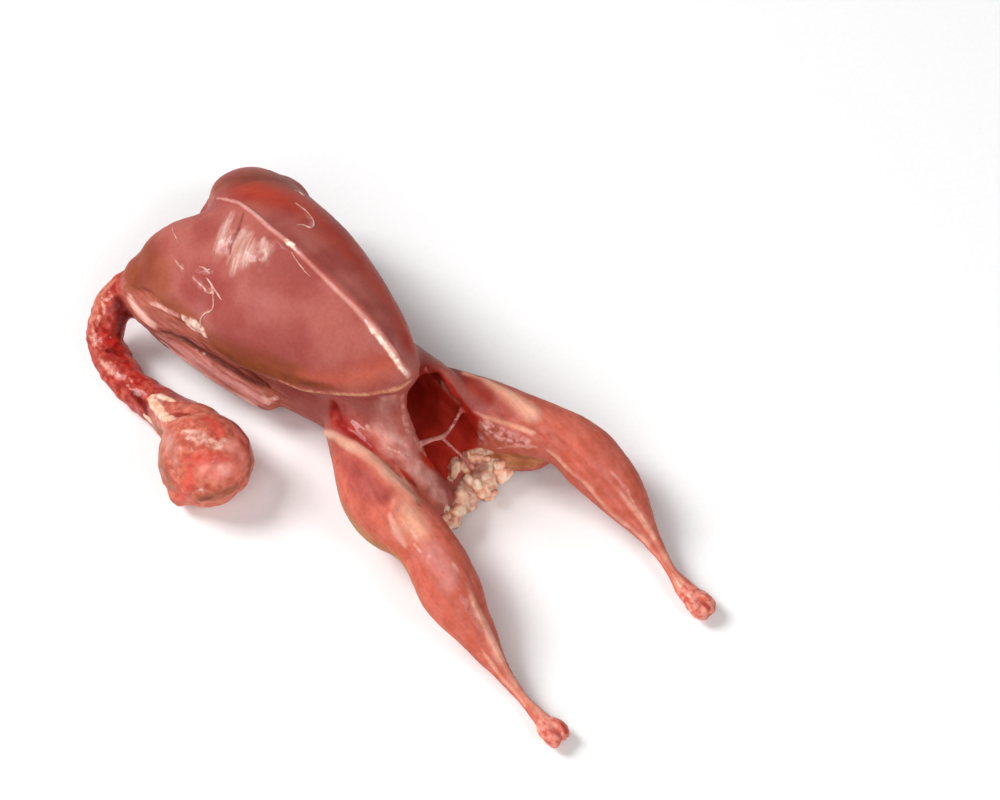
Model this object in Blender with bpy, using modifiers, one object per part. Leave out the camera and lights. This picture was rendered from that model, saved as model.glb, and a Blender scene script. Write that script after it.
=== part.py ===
"""Dressed quail: a skinned, eviscerated bird lying on its back, with its neck, wing stubs and legs.

Units are metres in Blender, and millimetres in the lists below. +Z is up out of the breast, +Y runs
along the keel to the neck, and +X is the bird's left side. The bird is one piece of meat, so it is
one solid: muscle masses are lofted, fused, softened where they meet, hollowed and then set flat on
the table.
"""

import math

import bmesh
import bpy
import numpy as np
from mathutils import Vector

MM = 0.001

NOTCH_DEPTH = 5.0
NOTCH_WIDTH = 4.6
NOTCH_MIDDLE = -1.6
FRONT_SKEW = 0.16
FAR_NARROWER = 0.975
SKIN_VOXEL = 0.6
SOFTEN_STEPS = 7
SOLID_TRIANGLES = 11000

PARTS = "dressed_quail"
CUTTERS = "cutters"


def clear_scene():
    """Removes the objects and collections that the file opened with."""
    for obj in list(bpy.data.objects):
        bpy.data.objects.remove(obj)
    for old in list(bpy.data.collections):
        bpy.data.collections.remove(old)


def collection(name):
    """A new collection in the scene."""
    made = bpy.data.collections.new(name)
    bpy.context.scene.collection.children.link(made)
    return made


def through(stations, count):
    """Rows on a smooth Catmull-Rom curve through the stations, spread evenly between them."""
    rows = np.array(stations, float)
    rows = np.vstack([2 * rows[0] - rows[1], rows, 2 * rows[-1] - rows[-2]])
    steps = np.linspace(0, len(rows) - 3, count)
    made = []
    for step in steps:
        k = min(int(step), len(rows) - 4)
        t = step - k
        a, b, c, d = rows[k : k + 4]
        bend = 2 * a - 5 * b + 4 * c - d
        twist = 3 * b - a - 3 * c + d
        made.append(0.5 * (2 * b + (c - a) * t + bend * t**2 + twist * t**3))
    return np.array(made)


def solid_of_rings(name, rings, into):
    """A closed object through rings of equally many points, with a fan over each end."""
    shape = bmesh.new()
    rows = [[shape.verts.new(Vector(point) * MM) for point in ring] for ring in rings]
    for one, two in zip(rows, rows[1:]):
        for k in range(len(one)):
            nxt = (k + 1) % len(one)
            shape.faces.new((one[k], one[nxt], two[nxt], two[k]))
    for row, turn in ((rows[0], -1), (rows[-1], 1)):
        middle = shape.verts.new(sum((v.co for v in row), Vector()) / len(row))
        for k in range(len(row)):
            pair = (row[k], row[(k + 1) % len(row)])[::turn]
            shape.faces.new((*pair, middle))
    bmesh.ops.recalc_face_normals(shape, faces=shape.faces)
    mesh = bpy.data.meshes.new(name)
    shape.to_mesh(mesh)
    shape.free()
    obj = bpy.data.objects.new(name, mesh)
    into.objects.link(obj)
    return obj


def squared(value, power):
    """A cosine or sine raised to a power with its sign kept; below 1 the section turns boxier."""
    return math.copysign(abs(value) ** power, value)


def limb(name, stations, into, sides=28, steps=36, dome=5, power=1.0):
    """A rounded muscle along a path of stations: x, y, z, half width, half height, roll in degrees."""
    rows = through(stations, steps)
    path = rows[:, :3]
    tangents = np.gradient(path, axis=0)
    tangents /= np.linalg.norm(tangents, axis=1)[:, None]
    angles = np.linspace(0, 2 * math.pi, sides, endpoint=False)
    rings = []

    def ring(centre, tangent, wide, high, roll):
        across = np.cross(tangent, (0, 0, 1))
        across /= np.linalg.norm(across)
        lift = np.cross(across, tangent)
        turn = math.radians(roll)
        side = across * math.cos(turn) + lift * math.sin(turn)
        rise = lift * math.cos(turn) - across * math.sin(turn)
        made = []
        for a in angles:
            out = side * wide * squared(math.cos(a), power)
            made.append(centre + out + rise * high * squared(math.sin(a), power))
        return made

    def end(row, tangent, way):
        wide, high, roll = row[3:6]
        reach = min(wide, high)
        made = []
        for k in range(1, dome + 1):
            a = math.pi / 2 * k / (dome + 0.5)
            centre = row[:3] + tangent * way * reach * math.sin(a)
            made.append(ring(centre, tangent, wide * math.cos(a), high * math.cos(a), roll))
        return made

    rings += end(rows[0], tangents[0], -1)[::-1]
    rings += [ring(row[:3], tangent, *row[3:6]) for row, tangent in zip(rows, tangents)]
    rings += end(rows[-1], tangents[-1], 1)
    return solid_of_rings(name, rings, into)


def ball(name, centre, radii, into, turn=(0, 0, 0)):
    """A stretched sphere, turned by degrees about X, Y and Z."""
    shape = bmesh.new()
    bmesh.ops.create_uvsphere(shape, u_segments=28, v_segments=18, radius=1)
    mesh = bpy.data.meshes.new(name)
    shape.to_mesh(mesh)
    shape.free()
    obj = bpy.data.objects.new(name, mesh)
    obj.scale = Vector(radii) * MM
    obj.rotation_euler = [math.radians(a) for a in turn]
    obj.location = Vector(centre) * MM
    into.objects.link(obj)
    return obj


def block(name, size, into):
    """A box centred on its own origin."""
    shape = bmesh.new()
    bmesh.ops.create_cube(shape, size=1)
    mesh = bpy.data.meshes.new(name)
    shape.to_mesh(mesh)
    shape.free()
    obj = bpy.data.objects.new(name, mesh)
    obj.scale = Vector(size) * MM
    into.objects.link(obj)
    return obj


BREAST = (
    # y, half width, z of the widest level, z of the keel, z underneath
    (59.0, 10.5, 17.8, 20.6, 14.5),
    (57.6, 14.6, 16.6, 25.2, 11.0),
    (54.5, 17.0, 16.6, 29.0, 8.0),
    (50.0, 17.8, 17.0, 32.0, 7.0),
    (44.0, 17.6, 17.6, 34.8, 7.5),
    (37.0, 17.0, 18.4, 37.0, 8.0),
    (30.0, 15.8, 19.6, 39.0, 10.0),
    (22.0, 13.6, 21.2, 39.4, 13.0),
    (14.0, 10.9, 22.5, 39.0, 15.0),
    (7.0, 7.7, 25.2, 37.6, 19.0),
    (2.5, 5.0, 27.5, 34.6, 23.5),
    (-0.8, 2.4, 29.0, 31.6, 27.0),
)


def breast(into):
    """Both breast muscles, arched to the keel like a pointed vault and tucked in below."""
    rows = through(BREAST, 48)
    top = np.linspace(0, math.pi / 2, 15)
    under = np.linspace(0, math.pi / 2, 9)[1:-1]
    rings = []
    for y, wide, rim, keel, low in rows:
        half = [(wide * math.sin(a) ** 1.3, rim + (keel - rim) * math.cos(a) ** 0.95) for a in top[:-1]]
        half.append((wide, rim))
        half += [(wide * math.cos(a) ** 0.9, rim - (rim - low) * math.sin(a)) for a in under]
        far = [(x * FAR_NARROWER, z) for x, z in half]
        near = [(-x, z) for x, z in half[:0:-1]]
        front = min(max((y - 38) / 20, 0), 1) ** 2
        ring = []
        for x, z in far + [(0, low)] + near:
            notch = NOTCH_DEPTH * math.exp(-(((x - NOTCH_MIDDLE) / NOTCH_WIDTH) ** 2))
            ring.append((x, y + front * (FRONT_SKEW * max(x, 0) - notch), z))
        rings.append(ring)
    return solid_of_rings("breast", rings, into)


TRUNK = (
    # y, half width, bottom z, top z, middle x
    (55.0, 8.0, 4.0, 18.0, 0.0),
    (50.0, 12.0, 1.0, 22.0, 0.0),
    (40.0, 13.6, -1.0, 24.0, 0.0),
    (28.0, 12.4, -1.0, 25.0, 0.0),
    (16.0, 9.6, -1.0, 26.5, 0.8),
    (6.0, 8.8, -1.0, 27.5, 2.4),
    (-1.0, 8.2, -1.0, 27.5, 3.4),
    (-6.0, 7.5, -0.5, 24.0, 3.9),
    (-12.0, 7.0, 0.0, 14.0, 3.8),
)


def trunk(into):
    """Ribs, back, belly wall and pelvis, as sections along the bird."""
    rows = through(TRUNK, 40)
    angles = np.linspace(0, 2 * math.pi, 40, endpoint=False)
    rings = []
    for y, wide, low, high, middle_x in rows:
        middle, tall = (low + high) / 2, (high - low) / 2
        ring = []
        for a in angles:
            power = 0.8 if math.sin(a) < 0 else 1.0
            x = middle_x + wide * squared(math.cos(a), power)
            z = middle + tall * squared(math.sin(a), power)
            ring.append((x, y, z))
        rings.append(ring)
    return solid_of_rings("trunk", rings, into)


def modifier(obj, kind, name, **settings):
    """Adds a modifier with its settings."""
    made = obj.modifiers.new(name, kind)
    for key, value in settings.items():
        setattr(made, key, value)
    return made


def apply_all(obj):
    """Replaces the object's mesh by what its modifiers make of it."""
    bpy.context.view_layer.update()
    graph = bpy.context.evaluated_depsgraph_get()
    mesh = bpy.data.meshes.new_from_object(obj.evaluated_get(graph))
    obj.modifiers.clear()
    obj.data = mesh
    obj.scale, obj.rotation_euler, obj.location = (1, 1, 1), (0, 0, 0), (0, 0, 0)


def settle(obj):
    """Writes the object's placement into its mesh."""
    bpy.context.view_layer.update()
    obj.data.transform(obj.matrix_world)
    obj.scale, obj.rotation_euler, obj.location = (1, 1, 1), (0, 0, 0), (0, 0, 0)


def fuse(base, others, solver="EXACT"):
    """Unites a collection's objects with the base one and removes them."""
    union = {"operation": "UNION", "operand_type": "COLLECTION", "collection": others}
    modifier(base, "BOOLEAN", "fuse", solver=solver, **union)
    apply_all(base)
    for obj in list(others.objects):
        bpy.data.objects.remove(obj)


def cut(base, tool, solver="EXACT"):
    """Takes a cutter away from the base object."""
    modifier(base, "BOOLEAN", "cut", operation="DIFFERENCE", object=tool, solver=solver)
    apply_all(base)


LIMBS = {
    # Stations of each long mass: x, y, z, half width, half height, roll in degrees
    "keel": (
        (0.0, 45.0, 34.0, 0.7, 0.7, 0),
        (0.0, 37.0, 36.8, 0.8, 0.8, 0),
        (0.0, 28.0, 39.0, 0.8, 0.8, 0),
        (0.0, 20.0, 39.3, 0.8, 0.8, 0),
        (0.0, 12.0, 38.6, 0.8, 0.8, 0),
        (0.0, 5.0, 36.2, 0.8, 0.8, 0),
        (0.0, 0.5, 32.6, 0.8, 0.8, 0),
    ),
    "neck": (
        (-5.0, 52.0, 11.0, 4.5, 4.5, 0),
        (-13.0, 57.0, 11.5, 4.0, 4.0, 0),
        (-20.0, 58.0, 10.0, 3.5, 3.5, 0),
        (-24.6, 55.8, 5.0, 3.5, 3.4, 0),
        (-26.6, 47.0, 3.6, 3.4, 3.3, 0),
        (-25.8, 39.5, 3.9, 3.6, 3.5, 0),
        (-25.6, 33.0, 5.2, 4.6, 4.6, 0),
        (-26.0, 29.0, 6.4, 6.2, 5.8, 0),
    ),
    "head_corner": (
        (-29.0, 23.0, 7.0, 7.4, 7.2, 0),
        (-31.0, 22.8, 6.0, 6.3, 6.0, 0),
        (-32.8, 22.5, 4.9, 4.7, 4.5, 0),
        (-34.0, 22.2, 4.0, 2.8, 2.8, 0),
    ),
    "wing_near_root": (
        (-17.8, 55.5, 12.8, 1.8, 4.4, 0),
        (-17.5, 49.0, 13.6, 2.3, 4.6, 0),
        (-16.6, 43.5, 14.2, 1.4, 3.0, 0),
    ),
    "wing_near": (
        (-17.0, 55.5, 10.5, 1.6, 3.6, 0),
        (-16.4, 48.5, 10.2, 2.3, 4.6, 0),
        (-15.3, 42.0, 9.8, 2.5, 4.8, 0),
        (-14.0, 35.0, 9.0, 2.5, 4.4, 0),
        (-12.6, 29.0, 8.0, 2.3, 3.6, 0),
        (-11.6, 25.0, 6.9, 2.0, 3.0, 0),
    ),
    "wing_far": (
        (17.0, 52.5, 10.5, 1.6, 3.6, 0),
        (16.4, 47.5, 10.2, 2.3, 4.6, 0),
        (15.4, 42.0, 9.8, 2.5, 4.8, 0),
        (14.2, 35.0, 9.0, 2.5, 4.4, 0),
        (12.8, 29.0, 8.0, 2.3, 3.6, 0),
        (11.7, 26.0, 7.4, 1.8, 2.8, 0),
    ),
    "flank_near": (
        (-4.0, 14.0, 12.0, 4.5, 8.0, 0),
        (-4.0, 6.0, 11.5, 4.6, 8.0, 0),
        (-5.0, -3.0, 9.4, 5.6, 7.4, 0),
        (-5.6, -9.0, 6.6, 5.6, 5.6, 0),
    ),
    "flank_far": (
        (6.4, 14.0, 12.0, 3.8, 7.0, 0),
        (7.8, 6.0, 12.5, 3.2, 8.0, 0),
        (9.4, -1.0, 12.0, 3.2, 7.4, 0),
        (11.0, -8.0, 9.5, 3.6, 5.8, 0),
    ),
    "leg_near": (
        (-7.0, 10.0, 10.8, 3.2, 5.2, 0),
        (-8.8, 4.0, 10.6, 4.7, 6.8, 0),
        (-11.3, -3.0, 10.8, 6.2, 7.4, 0),
        (-12.7, -9.0, 11.0, 6.4, 7.0, 0),
        (-12.4, -15.0, 11.2, 5.3, 5.6, 0),
        (-12.9, -19.9, 11.0, 5.1, 5.3, 0),
        (-14.9, -26.7, 9.5, 5.4, 5.4, 0),
        (-16.1, -34.2, 7.0, 3.6, 3.8, 0),
        (-17.1, -41.0, 4.8, 1.8, 2.0, 0),
        (-17.5, -47.0, 3.2, 1.2, 1.3, 0),
        (-17.9, -53.0, 2.6, 1.4, 1.4, 0),
    ),
    "leg_far": (
        (7.6, 6.0, 12.0, 4.0, 6.5, 0),
        (9.8, 0.0, 12.0, 5.0, 7.2, 0),
        (12.7, -7.0, 12.2, 5.7, 7.3, 0),
        (16.0, -13.0, 12.2, 5.3, 6.1, 0),
        (18.2, -17.4, 12.1, 4.9, 5.3, 0),
        (19.6, -21.2, 11.5, 5.2, 5.4, 0),
        (20.0, -25.4, 10.5, 5.4, 5.4, 0),
        (20.2, -32.4, 8.0, 4.4, 4.5, 0),
        (19.5, -37.6, 6.0, 2.8, 3.0, 0),
        (18.8, -42.4, 4.6, 1.65, 1.8, 0),
        (17.7, -47.5, 3.4, 1.2, 1.3, 0),
        (17.0, -52.0, 2.8, 1.9, 1.6, 0),
    ),
}

BALLS = {
    # Centre, the three radii and the turn about Z in degrees of each rounded mass
    "shoulder_near": ((-13.4, 53.0, 15.0), (6.2, 6.6, 6.6), 0),
    "shoulder_far": ((13.4, 50.5, 16.0), (6.0, 6.8, 6.6), 0),
    "neck_root": ((-2.5, 53.0, 12.5), (11.0, 6.0, 7.5), 0),
    "head": ((-28.0, 22.6, 7.7), (8.3, 8.8, 7.6), 0),
    "knee_near": ((-12.6, -13.4, 11.6), (5.4, 4.4, 5.6), 0),
    "knee_far": ((16.4, -14.6, 12.0), (5.0, 4.4, 5.4), 0),
    "ankle_near_inner": ((-16.9, -55.4, 2.5), (1.5, 2.4, 1.6), 10),
    "ankle_near_outer": ((-18.8, -55.4, 2.4), (1.5, 2.5, 1.7), -8),
    "ankle_far_inner": ((16.2, -55.2, 2.5), (1.8, 3.0, 1.9), -6),
    "ankle_far_outer": ((17.8, -55.2, 2.6), (1.8, 2.8, 1.9), 10),
    "thigh_far_under": ((14.0, -14.2, 6.0), (5.6, 2.7, 3.6), -42),
}


def masses(parts):
    """Every muscle mass and bone end, each as one closed shape that overlaps its neighbours."""
    breast(parts)
    for name, stations in LIMBS.items():
        limb(name, stations, parts, sides=12 if name == "keel" else 28)
    for name, (centre, radii, turn) in BALLS.items():
        ball(name, centre, radii, parts, turn=(0, 0, turn))


FRILL = (
    # x, y of the ragged edge of fat and skin round the vent
    (-7.0, -8.0), (-6.0, -12.0), (-4.6, -14.4), (-4.1, -15.4), (-3.0, -16.2), (-1.4, -15.0), (0.0, -13.9),
    (0.9, -14.8), (2.2, -15.5), (3.1, -14.2), (3.7, -13.5), (5.2, -14.4), (7.0, -15.1), (8.4, -13.9),
    (10.2, -13.4), (11.5, -12.5), (12.0, -9.0), (8.0, -6.0), (0.0, -5.0),
)


def frill(into):
    """The torn rim of fat at the tail end of the belly, a thick ragged flap that lies on the table side."""
    edge = np.array(FRILL)
    middle = np.array((3.0, -8.0))
    rings = []
    for size, height in ((0.80, 0.4), (0.93, 1.2), (1.0, 2.6), (0.95, 4.0), (0.84, 5.2), (0.70, 6.0)):
        rings.append([(*(middle + (point - middle) * size), height) for point in edge])
    return solid_of_rings("frill", rings, into)


STRANDS = (
    # x, y, z along each sinew that crosses the mouth of the cavity
    (
        (9.2, -4.2, 17.2),
        (6.9, -5.0, 16.0),
        (4.5, -5.6, 14.9),
        (2.4, -5.7, 14.8),
        (0.8, -5.3, 15.4),
        (-2.0, -4.8, 16.2),
    ),
    (
        (2.6, -5.5, 14.9),
        (3.0, -6.4, 13.3),
        (3.6, -7.3, 11.8),
        (4.7, -8.6, 9.1),
        (5.6, -9.8, 6.2),
    ),
)
STRAND_RADIUS = 0.45

# Two points, y and z, on the slanting plane in which the belly was cut open
MOUTH_TOP = (1.0, 27.5)
MOUTH_LOW = (-10.5, 5.5)


def mouth_cutter(into):
    """A block behind the slanting plane in which the belly was cut open."""
    along = Vector((0, MOUTH_TOP[0] - MOUTH_LOW[0], MOUTH_TOP[1] - MOUTH_LOW[1])).normalized()
    out = Vector((0, -along.z, along.y))
    depth = 30
    obj = block("mouth", (40, depth, 60), into)
    obj.rotation_euler.x = math.atan2(out.z, out.y)
    middle = Vector((3, (MOUTH_TOP[0] + MOUTH_LOW[0]) / 2, (MOUTH_TOP[1] + MOUTH_LOW[1]) / 2))
    obj.location = (middle + out * depth / 2) * MM
    return obj


CAVITY = (
    # The body cavity from outside the cut belly to the ribs: x, y, z, half width, half height, roll
    (3.6, -20.0, 12.0, 4.9, 8.8, 0),
    (3.6, -9.0, 14.0, 4.9, 9.2, 0),
    (3.6, -3.0, 15.4, 4.9, 9.6, 0),
    (3.2, 2.0, 15.8, 5.6, 9.8, 0),
    (2.6, 8.0, 15.0, 6.4, 9.4, 0),
    (1.6, 18.0, 14.0, 7.0, 8.8, 0),
    (0.8, 28.0, 12.5, 6.0, 7.0, 0),
)


def raw_meat():
    """Skinned dark poultry muscle: deep rosy red with a moist surface."""
    made = bpy.data.materials.new("raw quail muscle")
    made.use_nodes = True
    surface = made.node_tree.nodes["Principled BSDF"]
    surface.inputs["Base Color"].default_value = (0.56, 0.17, 0.13, 1.0)
    surface.inputs["Roughness"].default_value = 0.42
    surface.inputs["Metallic"].default_value = 0.0
    return made


def main():
    clear_scene()
    parts = collection(PARTS)
    cutters = collection(CUTTERS)
    forms = collection("forms")

    # The trunk is cut open first, then every other mass is fused on, and the cavity is hollowed out.
    bird = trunk(parts)
    bird.name = "dressed_quail"
    cut(bird, mouth_cutter(cutters), "MANIFOLD")
    masses(forms)
    frill(forms)
    for obj in forms.objects:
        settle(obj)
    fuse(bird, forms, "MANIFOLD")
    cut(bird, limb("cavity", CAVITY, cutters, power=0.8), "MANIFOLD")

    # One even skin grows over the masses and softens the creases between them.
    modifier(bird, "REMESH", "skin", mode="VOXEL", voxel_size=SKIN_VOXEL * MM, adaptivity=0.0)
    modifier(bird, "SMOOTH", "soften", factor=0.5, iterations=SOFTEN_STEPS)
    apply_all(bird)
    share = SOLID_TRIANGLES / sum(len(face.vertices) - 2 for face in bird.data.polygons)
    modifier(bird, "DECIMATE", "thin_out", decimate_type="COLLAPSE", ratio=share)
    apply_all(bird)

    # The two strands of sinew are finer than the skin's step, so they come last.
    for k, path in enumerate(STRANDS):
        stations = [(*point, STRAND_RADIUS, STRAND_RADIUS, 0) for point in path]
        limb(f"strand_{k}", stations, forms, sides=8, steps=14, dome=2)
    fuse(bird, forms, "MANIFOLD")

    # The back lies flat on the table at z = 0.
    table = block("table", (200, 300, 20), cutters)
    table.location.z = -10 * MM
    cut(bird, table)

    bird.data.materials.clear()
    bird.data.materials.append(raw_meat())
    bpy.data.collections.remove(forms)
    for tool in cutters.objects:
        tool.hide_render = True
        tool.display_type = "WIRE"


main()
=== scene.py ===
import math

import bmesh
import bpy
import numpy as np
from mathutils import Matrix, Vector, noise
from mathutils.bvhtree import BVHTree


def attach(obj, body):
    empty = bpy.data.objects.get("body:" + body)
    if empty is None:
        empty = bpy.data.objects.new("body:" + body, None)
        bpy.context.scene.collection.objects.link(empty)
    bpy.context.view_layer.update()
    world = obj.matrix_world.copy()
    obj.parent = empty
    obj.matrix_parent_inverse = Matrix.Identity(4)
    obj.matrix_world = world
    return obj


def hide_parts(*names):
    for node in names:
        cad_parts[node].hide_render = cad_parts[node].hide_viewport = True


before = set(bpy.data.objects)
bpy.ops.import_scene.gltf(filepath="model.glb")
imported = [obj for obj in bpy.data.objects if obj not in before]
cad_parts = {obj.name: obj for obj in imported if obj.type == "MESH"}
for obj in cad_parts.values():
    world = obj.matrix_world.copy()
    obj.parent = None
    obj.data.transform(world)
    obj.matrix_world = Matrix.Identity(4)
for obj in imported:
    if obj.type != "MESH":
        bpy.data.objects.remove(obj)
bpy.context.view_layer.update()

# A dressed quail on its back: skinned, opened at the tail end, cold and wet. Lists are in millimetres, in
# the frame of the solid: +Z out of the breast, +Y along the keel to the neck, -X the bird's right side.
MM = 0.001
SKIN_VOXEL = 0.46
SKIN_SMOOTHING = 3
SINEW_RADIUS = 0.36
THREAD_RADIUS = 0.18
THREAD_LIFT = 0.03
LOBE_VOXEL = 0.2
LOBES_PER_M2 = 190000.0
SMALLEST_LOBE = 1.0
LARGEST_LOBE = 2.2
LOBE_SEED = 3
CAMERA_AZIMUTH = -43
CAMERA_ELEVATION = 57
CAMERA_DISTANCE = 454.5
CAMERA_TARGET = (21.6, 0, 0)


# Colours and nodes

def tone(code):
    """The linear colour of an sRGB hex code."""
    parts = [int(code[k : k + 2], 16) / 255 for k in (1, 3, 5)]
    return (*[c / 12.92 if c <= 0.04045 else ((c + 0.055) / 1.055) ** 2.4 for c in parts], 1.0)


def put(tree, kind, sockets=None, **settings):
    """Adds a node with its settings. A socket takes a value, or a link from another node's socket."""
    node = tree.nodes.new(kind)
    for name, value in settings.items():
        setattr(node, name, value)
    for name, value in (sockets or {}).items():
        socket = node.inputs[name]
        if isinstance(value, bpy.types.NodeSocket):
            tree.links.new(value, socket)
        else:
            socket.default_value = value
    return node


def begun(name):
    """A new material: itself, its tree, its surface node and its object coordinates."""
    made = bpy.data.materials.new(name)
    made.use_nodes = True
    tree = made.node_tree
    return made, tree, tree.nodes["Principled BSDF"], put(tree, "ShaderNodeTexCoord").outputs["Object"]


def spots(tree, place, size, detail):
    """Noise whose features have that size in millimetres."""
    node = put(tree, "ShaderNodeTexNoise", {"Vector": place, "Scale": 1 / (size * MM), "Detail": detail})
    return node.outputs["Fac"]


def marked(tree, name):
    """A point attribute of the mesh."""
    return put(tree, "ShaderNodeAttribute", attribute_name=name).outputs["Fac"]


def ramp(tree, value, first, last, *between):
    """A run of colours, each with its place and its sRGB code."""
    node = put(tree, "ShaderNodeValToRGB", {"Fac": value})
    elements = node.color_ramp.elements
    for element, (place, code) in zip(elements, (first, last)):
        element.position = place
        element.color = tone(code)
    for place, code in between:
        elements.new(place).color = tone(code)
    return node.outputs["Color"]


def bumped(tree, height, strength, distance):
    """Fine relief of the shading, the distance in millimetres."""
    node = put(tree, "ShaderNodeBump", {"Height": height, "Strength": strength, "Distance": distance * MM})
    return node.outputs["Normal"]


def settle(tree, surface, sockets):
    """Gives the surface's sockets their values and links."""
    for name, value in sockets.items():
        if isinstance(value, bpy.types.NodeSocket):
            tree.links.new(value, surface.inputs[name])
        else:
            surface.inputs[name].default_value = value


# Socket numbers of the Mix node when it mixes colours. Where it mixes numbers they are 0, 2, 3 and 0.
FACTOR, FIRST, SECOND, MIXED = 0, 6, 7, 2


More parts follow.
